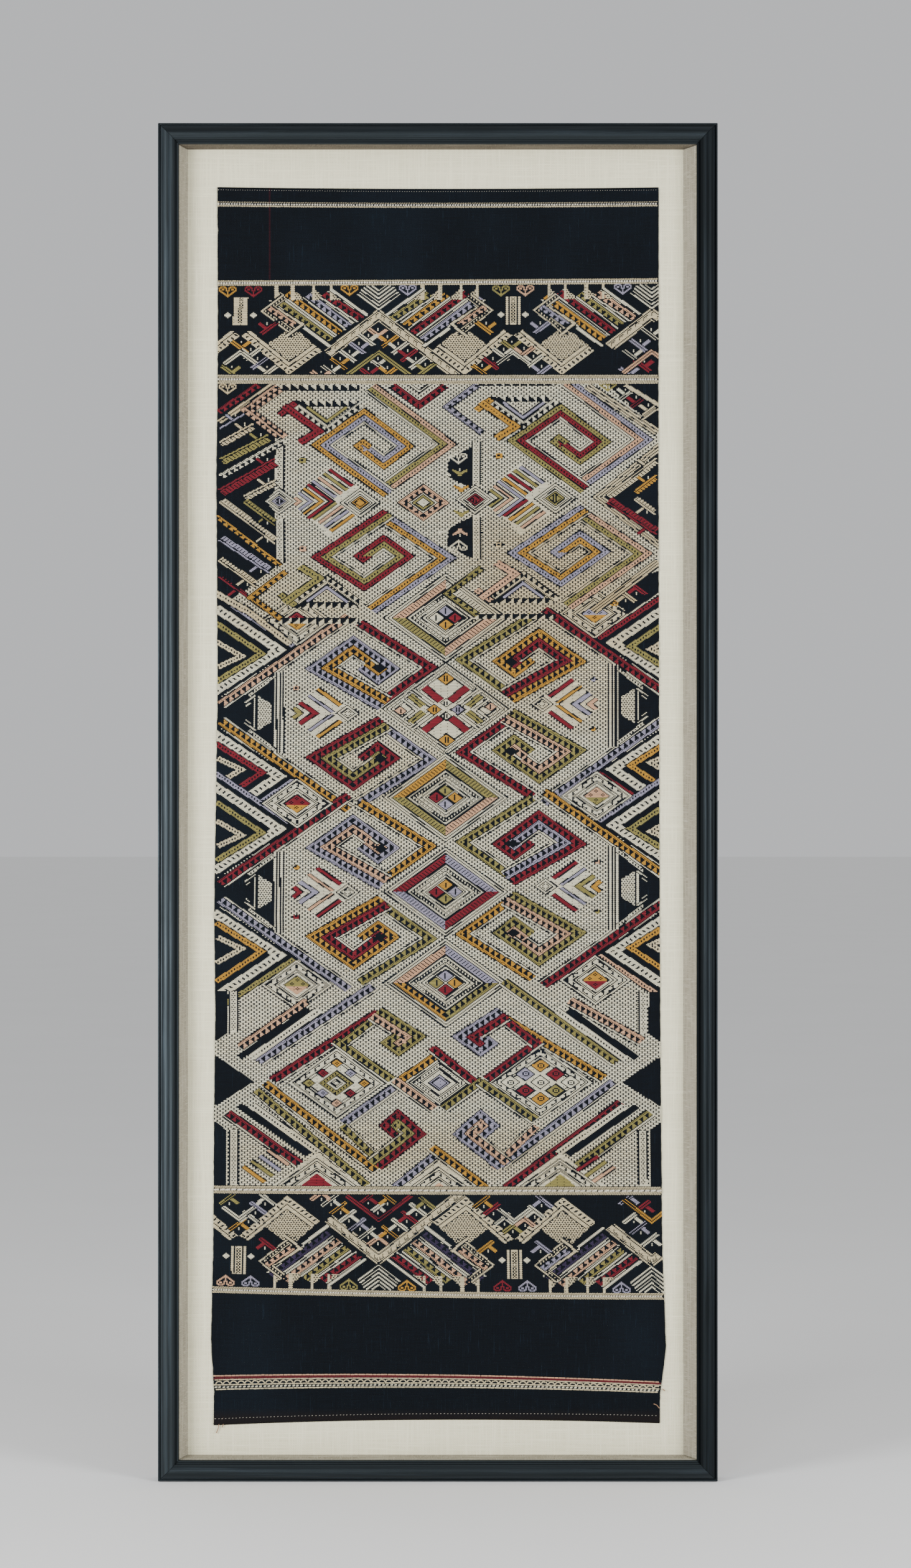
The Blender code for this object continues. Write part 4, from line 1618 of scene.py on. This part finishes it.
def mesh_piece(name: str, points: Array, faces: Array, finish: Material) -> Piece:
    """A smooth piece from arrays of points and of triangles or quads, with a flat map for baking.

    Args:
        name: the piece's name.
        points: vertices in the row frame.
        faces: vertex numbers, one face in each row.
        finish: its material.

    Returns:
        The new object.
    """
    mesh = bpy.data.meshes.new(name)
    sides = faces.shape[1]
    mesh.vertices.add(len(points))
    mesh.vertices.foreach_set("co", points.astype(np.float32).ravel())
    mesh.loops.add(faces.size)
    mesh.loops.foreach_set("vertex_index", faces.astype(np.int32).ravel())
    mesh.polygons.add(len(faces))
    mesh.polygons.foreach_set("loop_start", np.arange(0, faces.size, sides, dtype=np.int32))
    mesh.polygons.foreach_set("use_smooth", np.ones(len(faces), bool))
    mesh.update(calc_edges=True)
    mesh.validate()
    flat = points[faces.ravel()][:, [0, 2]]
    low, high = flat.min(0), flat.max(0)
    bake = mesh.uv_layers.new(name=BAKE_MAP)
    bake.data.foreach_set("uv", ((flat - low) / (high - low)).astype(np.float32).ravel())
    mesh.materials.append(finish)
    piece = bpy.data.objects.new(name, mesh)
    bpy.context.scene.collection.objects.link(piece)
    return piece


def closed_sheet(
    name: str,
    x: Array,
    z: Array,
    front: Array,
    back: float,
    finish: Material,
) -> Piece:
    """A sheet with a flat back, a front and a rim, closed all round.

    Args:
        name: the sheet's name.
        x: its grid's places across, from the left in each row.
        z: its grid's heights, from the top row down.
        front: Y of its front face at each place.
        back: Y of its back face.
        finish: its material.

    Returns:
        The new object.
    """
    count = front.size
    behind = np.full_like(front, back)
    points = np.concatenate([np.stack([x, y, z], -1).reshape(-1, 3) for y in (front, behind)])
    grid = np.arange(count).reshape(front.shape)
    a, b, c, d = grid[1:, :-1], grid[1:, 1:], grid[:-1, 1:], grid[:-1, :-1]
    faces = [
        np.stack([a, b, c, d], -1).reshape(-1, 4),
        np.stack([d, c, b, a], -1).reshape(-1, 4) + count,
    ]
    rim = np.concatenate([grid[:, 0], grid[-1, 1:], grid[-2::-1, -1], grid[0, -2:0:-1]])
    following = np.roll(rim, -1)
    faces.append(np.column_stack([following, rim, rim + count, following + count]))
    return mesh_piece(name, points, np.concatenate(faces), finish)


@dataclass
class Stitching:
    """Rows of even stitches that follow the picks across the cloth."""

    shape: ClothShape
    seed: int = 11

    def row(
        self,
        y: float,
        pitch: float,
        length: float,
        height: float,
        thread: Thread,
        lean: float = 0.0,
        lift: float = 0.4,
        start: float = 0.0,
        shade: float = 1.0,
        span: tuple[float, float] = (0.0, 1.0),
    ) -> Floats:
        """One row of stitches.

        Args:
            y: sheet place of the row's middle line.
            pitch: sheet distance from stitch to stitch.
            length: sheet length of a stitch.
            height: sheet thickness of a stitch.
            thread: its thread.
            lean: rise of a stitch from its left end to its right, on the sheet.
            lift: how far it stands above the cloth, in millimetres.
            start: share of a pitch by which the row is moved to the right.
            shade: brightness of the thread.
            span: shares of the cloth's width between which the row runs.

        Returns:
            The stitches.
        """
        rng = np.random.default_rng(self.seed + int(y * 10))
        left, right = self.shape.point(self.shape.down_of(y), np.array(span))[0] / PIXEL
        places = np.arange(left + pitch * (0.5 + start), right - pitch * 0.3, pitch)
        places = places + rng.normal(0.0, 0.04 * pitch, len(places))
        share = span[0] + (span[1] - span[0]) * (places - left) / (right - left)
        down = self.shape.down_of(y + rng.normal(0.0, 0.1, len(places)))
        x, z = self.shape.point(down, share)
        reach = 0.5 * PIXEL * length
        ahead = 0.005
        slope = self.shape.point(down, share + ahead)[1] - z
        rise = slope * reach / (ahead * (right - left) * PIXEL) + 0.5 * PIXEL * lean
        half = np.column_stack([np.full(len(x), reach), rise])
        tone = np.array(THREAD_COLOURS[thread]) * shade * rng.normal(1.0, 0.07, (len(x), 1))
        wide = np.full(len(x), 0.5 * PIXEL * height)
        return Floats(
            np.column_stack([x, z]), half, wide, np.full(len(x), lift * MM), np.ones(len(x)), tone,
        )


@dataclass
class TwinedBand:
    """A raised band of twined weft: tan twists above and below a row of white ones."""

    name: str
    top: float
    bottom: float
    lift: float = 0.8
    pitch: float = 4.2

    def floats(self, stitching: Stitching) -> Floats:
        """The band's stitches."""
        deep = self.bottom - self.top
        rows = max(3, int(round(deep / 2.9)) | 1)
        step = deep / rows
        parts = []
        white = rows // 2
        for i in range(rows):
            spacing = (self.pitch, self.pitch - 0.6) if i == white else (3.8, 4.4)
            if i == white:
                look = (Thread.STITCH, 0.9, self.lift, 0.0, 0.8)
            else:
                lean = 1.1 if i < white else -1.1
                shade = 0.6 if i == white - 1 else 0.74
                look = (Thread.CREAM, lean, self.lift * 0.8, 0.5 * (i % 2), shade)
            parts.append(stitching.row(self.top + step * (i + 0.5), *spacing, step * 1.05, *look))
        return Floats.joined(parts)


@dataclass
class FiguredStripe:
    """The narrow stripe near the lower end: lines, a row of scallops and a row of dashes."""

    name: str = "figured_stripe"
    top: float = 2215.0
    lift: float = 0.35

    def floats(self, stitching: Stitching) -> Floats:
        """The stripe's stitches, line by line."""
        lines = (
            (1.0, 2.4, P, 0.0, 1.0), (3.2, 2.2, C, 0.5, 0.55), (5.2, 2.2, C, 0.0, 0.55),
            (7.4, 2.0, K, 0.5, 1.0), (15.6, 2.4, K, 0.0, 1.0), (22.8, 2.4, K, 0.5, 1.0),
        )
        parts = [
            stitching.row(self.top + low, 6.0, 6.6, height, thread, 0.0, self.lift, start, shade)
            for low, height, thread, start, shade in lines
        ]
        parts.append(stitching.row(self.top + 19.2, 6.6, 5.0, 2.8, W, lean=1.2))
        scallop = ((0.0, 4.2, 12.0), (0.24, 1.2, 10.2), (0.48, -1.2, 10.2), (0.72, -4.2, 12.0))
        for start, lean, low in scallop:
            parts.append(stitching.row(self.top + low, 11.4, 3.4, 2.1, K, lean, self.lift, start))
        return Floats.joined(parts)


@dataclass
class HemStitches:
    """Running stitches that hold the hems, with loose ends at the lower end of the cloth.

    The rows stand on the hems, so their lift, in millimetres, holds the fold's own rise.
    """

    name: str = "hem_stitches"
    lift: float = 1.1
    wide: float = 0.45 * MM
    high: float = 0.7 * MM
    taper: float = 0.8
    ends: tuple[tuple[Point, ...], ...] = (
        ((357, 2283), (354, 2288), (350, 2294), (349, 2300), (346, 2308)),
        ((354, 2288), (357, 2294), (355, 2299)),
        ((1052, 2261), (1057, 2263), (1061, 2268)),
        ((1066, 2237), (1070, 2240)),
    )

    def floats(self, stitching: Stitching) -> Floats:
        """Both rows of stitches and the loose ends, as short lengths end to end."""
        parts = [
            stitching.row(300.5, 3.9, 1.9, 1.4, Thread.STITCH, lean=0.7, lift=self.lift, shade=0.8),
            stitching.row(
                2285.0, 5.6, 2.9, 1.5, Thread.STITCH, lean=0.4, lift=self.lift, shade=0.5,
            ),
        ]
        tan = np.array([THREAD_COLOURS[Thread.PEACH]]) * 0.7
        for path in self.ends:
            for start, end in zip(path, path[1:]):
                x, z = (sheet_x(start[0]), sheet_x(end[0])), (sheet_z(start[1]), sheet_z(end[1]))
                centre = np.array([[sum(x) / 2, sum(z) / 2]])
                half = np.array([[x[1] - x[0], z[1] - z[0]]]) * 0.56
                form = (np.array([size]) for size in (self.wide, self.high, self.taper))
                parts.append(Floats(centre, half, *form, tan))
        return Floats.joined(parts)


@dataclass
class WeftPattern:
    """The supplementary weft: the chart woven into floats, in a few pieces down the cloth.

    A grain is a float of three ends in the rice ground. The spares, the nip and the widths
    are shares of an end or of a pick, and room is any number above the number of ends.
    """

    shape: ClothShape
    top: float = 455.0
    bottom: float = 2071.0
    pick: float = 1.6
    ends: int = 326
    room: int = 512
    grain_spare: float = 0.26
    spare: float = 0.08
    grain_wide: float = 0.98
    wide: float = 1.08
    grain_taper: float = 1.1
    taper: float = 0.6
    high: float = 0.55 * MM
    low: float = 0.34 * MM
    nip: float = -0.14
    breaks: tuple[float, ...] = (
        455.0, 614.0, 830.0, 1045.0, 1262.0, 1480.0, 1695.0, 1908.0, 2071.0,
    )
    seed: int = 5

    def chart(self) -> Chart:
        """The drawn chart, on cells that follow the selvedges."""
        rows = int((self.bottom - self.top) / self.pick)
        y = self.top + (np.arange(rows) + 0.5) * self.pick
        share = (np.arange(self.ends) + 0.5) / self.ends
        down = self.shape.down_of(y)
        x, _ = self.shape.point(down[:, None], share[None, :])
        chart = Chart(x / PIXEL + SHEET_MIDDLE, np.repeat(y[:, None], self.ends, 1))
        draw_cloth(chart)
        return chart

    def weave(self, chart: Chart) -> tuple[Floats, Array]:
        """Every unbroken length of thread as a float.

        Args:
            chart: the drawn chart.

        Returns:
            The floats, and the sheet place down the cloth of each.
        """
        alike = np.zeros_like(chart.cut)
        alike[:, 1:] = chart.thread[:, 1:] == chart.thread[:, :-1]
        row, first = np.nonzero(~alike | chart.cut)
        goes_on = np.append(row[1:] == row[:-1], False)
        last = np.where(goes_on, np.append(first[1:], 0), self.ends)
        thread = chart.thread[row, first]
        laid = thread > 0
        row, first, last, thread = row[laid], first[laid], last[laid], thread[laid].astype(np.int64)
        key = ((row // 2 * self.room + first) * self.room + last) * len(Thread) + thread
        _, chosen, count = np.unique(key, return_index=True, return_counts=True)
        row, first, last, thread = row[chosen], first[chosen], last[chosen], thread[chosen]
        rng = np.random.default_rng(self.seed)
        size = len(row)
        grain = (count > 1) & (last - first == 3)
        spare = np.where(grain, self.grain_spare, self.spare) * rng.uniform(0.8, 1.2, size)
        parted = chart.cut & alike
        before = np.where(parted[row, first], self.nip, spare)
        after = np.where(
            (last < self.ends) & parted[row, np.minimum(last, self.ends - 1)], self.nip, spare,
        )
        y = self.top + (row + 0.5 * count) * self.pick
        down = self.shape.down_of(y)
        start = np.column_stack(self.shape.point(down, (first - before) / self.ends))
        end = np.column_stack(self.shape.point(down, (last + after) / self.ends))
        centre, half = (start + end) / 2, (end - start) / 2
        centre[:, 1] += rng.normal(0.0, 0.03 * MM, size)
        wide = 0.5 * self.pick * PIXEL * count * np.where(grain, self.grain_wide, self.wide)
        wide = wide * rng.uniform(0.94, 1.04, size)
        lift = np.where(count > 1, self.high, self.low) * rng.uniform(0.85, 1.15, size)
        taper = np.where(grain, self.grain_taper, self.taper)
        tones = self.dye(thread, row, rng)
        pale = np.isin(thread, (Thread.WHITE, Thread.CREAM))[:, None]
        for fade in FADES:
            aged = fade.share(centre[:, 0] / PIXEL + SHEET_MIDDLE, y)[:, None] * pale
            tones = tones * (1 + aged * (np.array(fade.tone) - 1))
        return Floats(centre, half, wide, lift, taper, tones), y

    def dye(self, thread: Array, row: Array, rng: np.random.Generator) -> Array:
        """Each float's colour: its thread's, a little uneven from pick to pick.

        Args:
            thread: each float's thread.
            row: its pick.
            rng: source of the unevenness.

        Returns:
            Linear colours.
        """
        table = np.array(
            [THREAD_COLOURS.get(Thread(i), (0.0, 0.0, 0.0)) for i in range(len(Thread))]
        )
        lots = np.convolve(rng.normal(0.0, 1.0, row.max() + 60), np.ones(9) / 9.0, "same")
        shade = 1.0 + 0.1 * lots[row] + rng.normal(0.0, 0.06, len(row))
        warmth = 0.02 * lots[row + 30] + rng.normal(0.0, 0.012, len(row))
        return np.clip(
            table[thread] * np.column_stack([shade + warmth, shade, shade - warmth]), 0.0, 1.0,
        )

    def make(self, mesher: FloatMesher, finish: Material) -> list[Piece]:
        """The pieces, from the top of the cloth down.

        Args:
            mesher: makes the meshes.
            finish: their material.

        Returns:
            The pieces.
        """
        floats, y = self.weave(self.chart())
        pieces = []
        for i, (low, high) in enumerate(zip(self.breaks, self.breaks[1:])):
            part = floats.some((y >= low) & (y < high))
            piece = mesher.make(f"weft_pattern_{i + 1}", part, finish)
            LOG.info(
                "%s: %d floats, %d faces", piece.name, len(part.wide), len(piece.data.polygons),
            )
            pieces.append(piece)
        return pieces


@dataclass
class ClothSheet:
    """The indigo ground cloth as one closed sheet with folded hems."""

    shape: ClothShape
    name: str = "indigo_cloth"
    rows: int = 260
    columns: int = 72
    edge_share: float = 0.55
    hem_rows: tuple[float, float, float] = (0.6, 1.6, 3.0)
    uneven: float = 0.14 * MM
    seed: int = 3
    flat: tuple[float, float] = (0.449, 1.25)

    def make(self, finish: Material) -> Piece:
        """The sheet.

        Args:
            finish: its material.

        Returns:
            The new object.
        """
        shape = self.shape
        down = np.linspace(0.0, shape.length, self.rows)
        down[1:4] = np.array(self.hem_rows) * MM
        down[-4:-1] = shape.length - np.array(self.hem_rows[::-1]) * MM
        inner = np.linspace(0.004, 0.996, self.columns - 2)
        share = np.concatenate([[0.0], inner, [1.0]])
        x, z = shape.point(down[:, None], share[None, :])
        rng = np.random.default_rng(self.seed)
        x[:, 0] += rng.normal(0.0, self.uneven, self.rows)
        x[:, -1] += rng.normal(0.0, self.uneven, self.rows)
        ends = np.minimum(down, shape.length - down)
        fold = np.clip((shape.hem_depth - ends) / (0.8 * MM), 0.0, 1.0) * (shape.hem - shape.plain)
        turned = np.clip(ends / (0.9 * MM), 0.25, 1.0)
        front = shape.surface(x, z) - fold[:, None]
        thick = -front - shape.back
        thick *= turned[:, None]
        thick[:, [0, -1]] *= self.edge_share
        return closed_sheet(self.name, x, z, -shape.back - thick, -shape.back, finish)


@dataclass
class TextileAssembly:
    """The cloth with all that is woven and sewn into it."""

    shape: ClothShape = field(default_factory=ClothShape)
    node: str = "textile"
    slot: str = "indigo_cloth"

    def bands(self) -> list[TwinedBand]:
        """The five twined bands from the top down."""
        return [
            TwinedBand("twined_band_1", 318.5, 327.5, 0.5),
            TwinedBand("twined_band_2", 446.5, 455.5),
            TwinedBand("twined_band_3", 599.0, 613.5),
            TwinedBand("twined_band_4", 1908.5, 1921.0, pitch=9.4),
            TwinedBand("twined_band_5", 2071.0, 2081.5),
        ]

    def make(self) -> Piece:
        """Returns:
            The cloth sheet.
        """
        sheet = ClothSheet(self.shape)
        cloth = sheet.make(IndigoCloth().make())
        silk = FloatSilk().make()
        mesher, stitching = FloatMesher(self.shape), Stitching(self.shape)
        pieces = WeftPattern(self.shape).make(mesher, silk)
        for part in (*self.bands(), FiguredStripe(), HemStitches()):
            pieces.append(mesher.make(part.name, part.floats(stitching), silk))
            LOG.info("%s: %d faces", part.name, len(pieces[-1].data.polygons))
        for piece in (cloth, *pieces):
            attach(piece, BODY)
        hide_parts(self.node)
        return cloth


@dataclass
class LinenGround:
    """Linen pulled flat over the board, its edges rounded where it turns to the back."""

    name: str = "linen_sheet"
    node: str = "linen_ground"
    slot: str = "linen"
    rows: int = 90
    columns: int = 40
    turn: float = 0.9 * MM
    edge_drop: float = 0.5 * MM

    def make(self) -> Piece:
        """Returns:
            The linen sheet.
        """
        low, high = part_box(self.node)
        x = np.linspace(low[0], high[0], self.columns)
        z = np.linspace(high[2], low[2], self.rows)
        x[1], x[-2] = x[0] + self.turn, x[-1] - self.turn
        z[1], z[-2] = z[0] - self.turn, z[-1] + self.turn
        across, down = np.meshgrid(x, z)
        front = np.full(across.shape, float(low[1]))
        edge = np.zeros(across.shape, bool)
        edge[[0, -1], :] = True
        edge[:, [0, -1]] = True
        front[edge] += self.edge_drop
        finish = Linen("ground_linen").make()
        linen = closed_sheet(self.name, across, down, front, float(high[1]), finish)
        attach(linen, BODY)
        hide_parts(self.node)
        return linen


@dataclass
class ShadowBox:
    """The frame's rails, the linen-wrapped fillets and the backing board, kept as packed."""

    upright: tuple[str, str] = ("rail_left", "rail_right")
    level: tuple[str, ...] = ("rail_top", "rail_bottom")
    fillets: tuple[str, ...] = ("fillet_left", "fillet_right", "fillet_top", "fillet_bottom")
    board: str = "backing_board"

    def dress(self) -> None:
        """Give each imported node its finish."""
        # Painted light: the left rail's copy has a brighter figure, as if lit from the left; the
        # right rail's copy has less shine, so it reads darker as painted shade.
        left = StainedWood(
            "stained_wood_left_painted_light", Axis.Z, figure_and_painted_light=linear(38, 46, 52), pore_depth=0.05 * MM,
        ).make()
        right = StainedWood("stained_wood_right_painted_shade", Axis.Z, shine=0.12, pore_depth=0.05 * MM).make()
        # The level rails' inner lips are painted near-black too, as painted shade.
        middle = (CAD_BOX[0][2] + CAD_BOX[1][2]) / 2
        lip = (-middle - 5.5 * MM, -middle - 3.5 * MM)
        rails = StainedWood("stained_wood_level", Axis.X, lip=lip, middle=middle).make()
        # Painted shade: the fillets wear the board's linen in darker colours, for the shade inside
        # the box, and the top fillet a still darker copy, for the shadow under the top rail.
        shaded_fillet_linen = Linen(
            "fillet_linen", linear(168, 163, 146), linear(124, 118, 102), linear(184, 179, 164),
        ).make()
        shaded = Linen(
            "fillet_linen_shaded", linear(104, 97, 84), linear(74, 67, 57), linear(118, 111, 98),
        ).make()
        board = RawBoard().make()
        dressed = (
            (self.upright[:1], left), (self.upright[1:], right), (self.level, rails),
            (self.fillets, shaded_fillet_linen), (self.fillets[2:3], shaded), ((self.board,), board),
        )
        for names, finish in dressed:
            for name in names:
                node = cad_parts[name]
                for held in node.material_slots:
                    held.material = finish
                LOG.info("%s: %s", name, finish.name)


@dataclass
class Studio:
    """Camera, pale floor and soft lights."""

    distance: float = 3.5
    frame_face: float = -26.0 * MM
    picture: tuple[int, int] = (1464, 2520)
    sensor: float = 36.0
    floor_size: float = 60.0
    lamp_power: float = 86.0
    world_light: float = 0.72
    aim: float = sheet_z(1290.0)
    floor_gap: float = 0.5 * MM

    def camera(self) -> None:
        """A straight-on camera whose picture plane matches the sheet's scale."""
        x = sheet_x(self.picture[0] / 2)
        z = sheet_z(self.picture[1] / 2)
        data = bpy.data.cameras.new("front_camera")
        data.sensor_width = self.sensor
        data.lens = self.sensor * self.distance / (self.picture[1] * PIXEL)
        camera = bpy.data.objects.new("front_camera", data)
        camera.location = (x, self.frame_face - self.distance, z)
        camera.rotation_euler = (math.pi / 2, 0.0, 0.0)
        bpy.context.scene.collection.objects.link(camera)
        bpy.context.scene.camera = camera

    def lamp(self, name: str, place: tuple[float, float, float], size: Point, power: float) -> None:
        """A soft area lamp turned to the middle of the cloth."""
        data = bpy.data.lights.new(name, "AREA")
        data.shape = "RECTANGLE"
        data.size, data.size_y = size
        data.energy = power
        lamp = bpy.data.objects.new(name, data)
        lamp.location = place
        aim = np.array([0.0, 0.0, self.aim]) - np.array(place)
        lamp.rotation_euler = (
            math.atan2(float(np.hypot(aim[0], aim[1])), -aim[2]),
            0.0,
            math.atan2(aim[1], aim[0]) - math.pi / 2,
        )
        bpy.context.scene.collection.objects.link(lamp)

    def make(self) -> None:
        """Set up the room."""
        self.camera()
        lamps = (
            ("left_lamp", (-1.9, -1.9, self.aim + 0.1), (0.9, 1.2), 1.0),
            ("right_lamp", (1.9, -1.9, self.aim + 0.1), (0.9, 1.2), 0.85),
            ("front_lamp", (-0.8, -3.4, self.aim), (0.35, 1.8), 0.2),
        )
        for name, place, size, share in lamps:
            self.lamp(name, place, size, self.lamp_power * share)
        world = bpy.data.worlds.new("studio")
        world.use_nodes = True
        sky = world.node_tree.nodes["Background"]
        sky.inputs["Color"].default_value = (0.86, 0.87, 0.89, 1.0)
        sky.inputs["Strength"].default_value = self.world_light
        bpy.context.scene.world = world
        bpy.ops.object.select_all(action="DESELECT")
        low = CAD_BOX[0][2]
        bpy.ops.mesh.primitive_plane_add(
            size=self.floor_size, location=(0.0, 0.0, low - self.floor_gap),
        )
        floor = bpy.context.active_object
        floor.name = "studio_floor"
        recipe = Recipe("pale_floor", 0.9, specular=0.2)
        mottle = recipe.grain((3.0, 3.0, 3.0), 3.0)
        recipe.colour(recipe.blend(mottle, (0.86, 0.86, 0.85), (0.9, 0.9, 0.89)))
        floor.data.materials.append(recipe.material)


def main() -> None:
    """Build, dress and light every piece."""
    Studio().make()
    LinenGround().make()
    TextileAssembly().make()
    ShadowBox().dress()


if __name__ == "__main__":
    main()
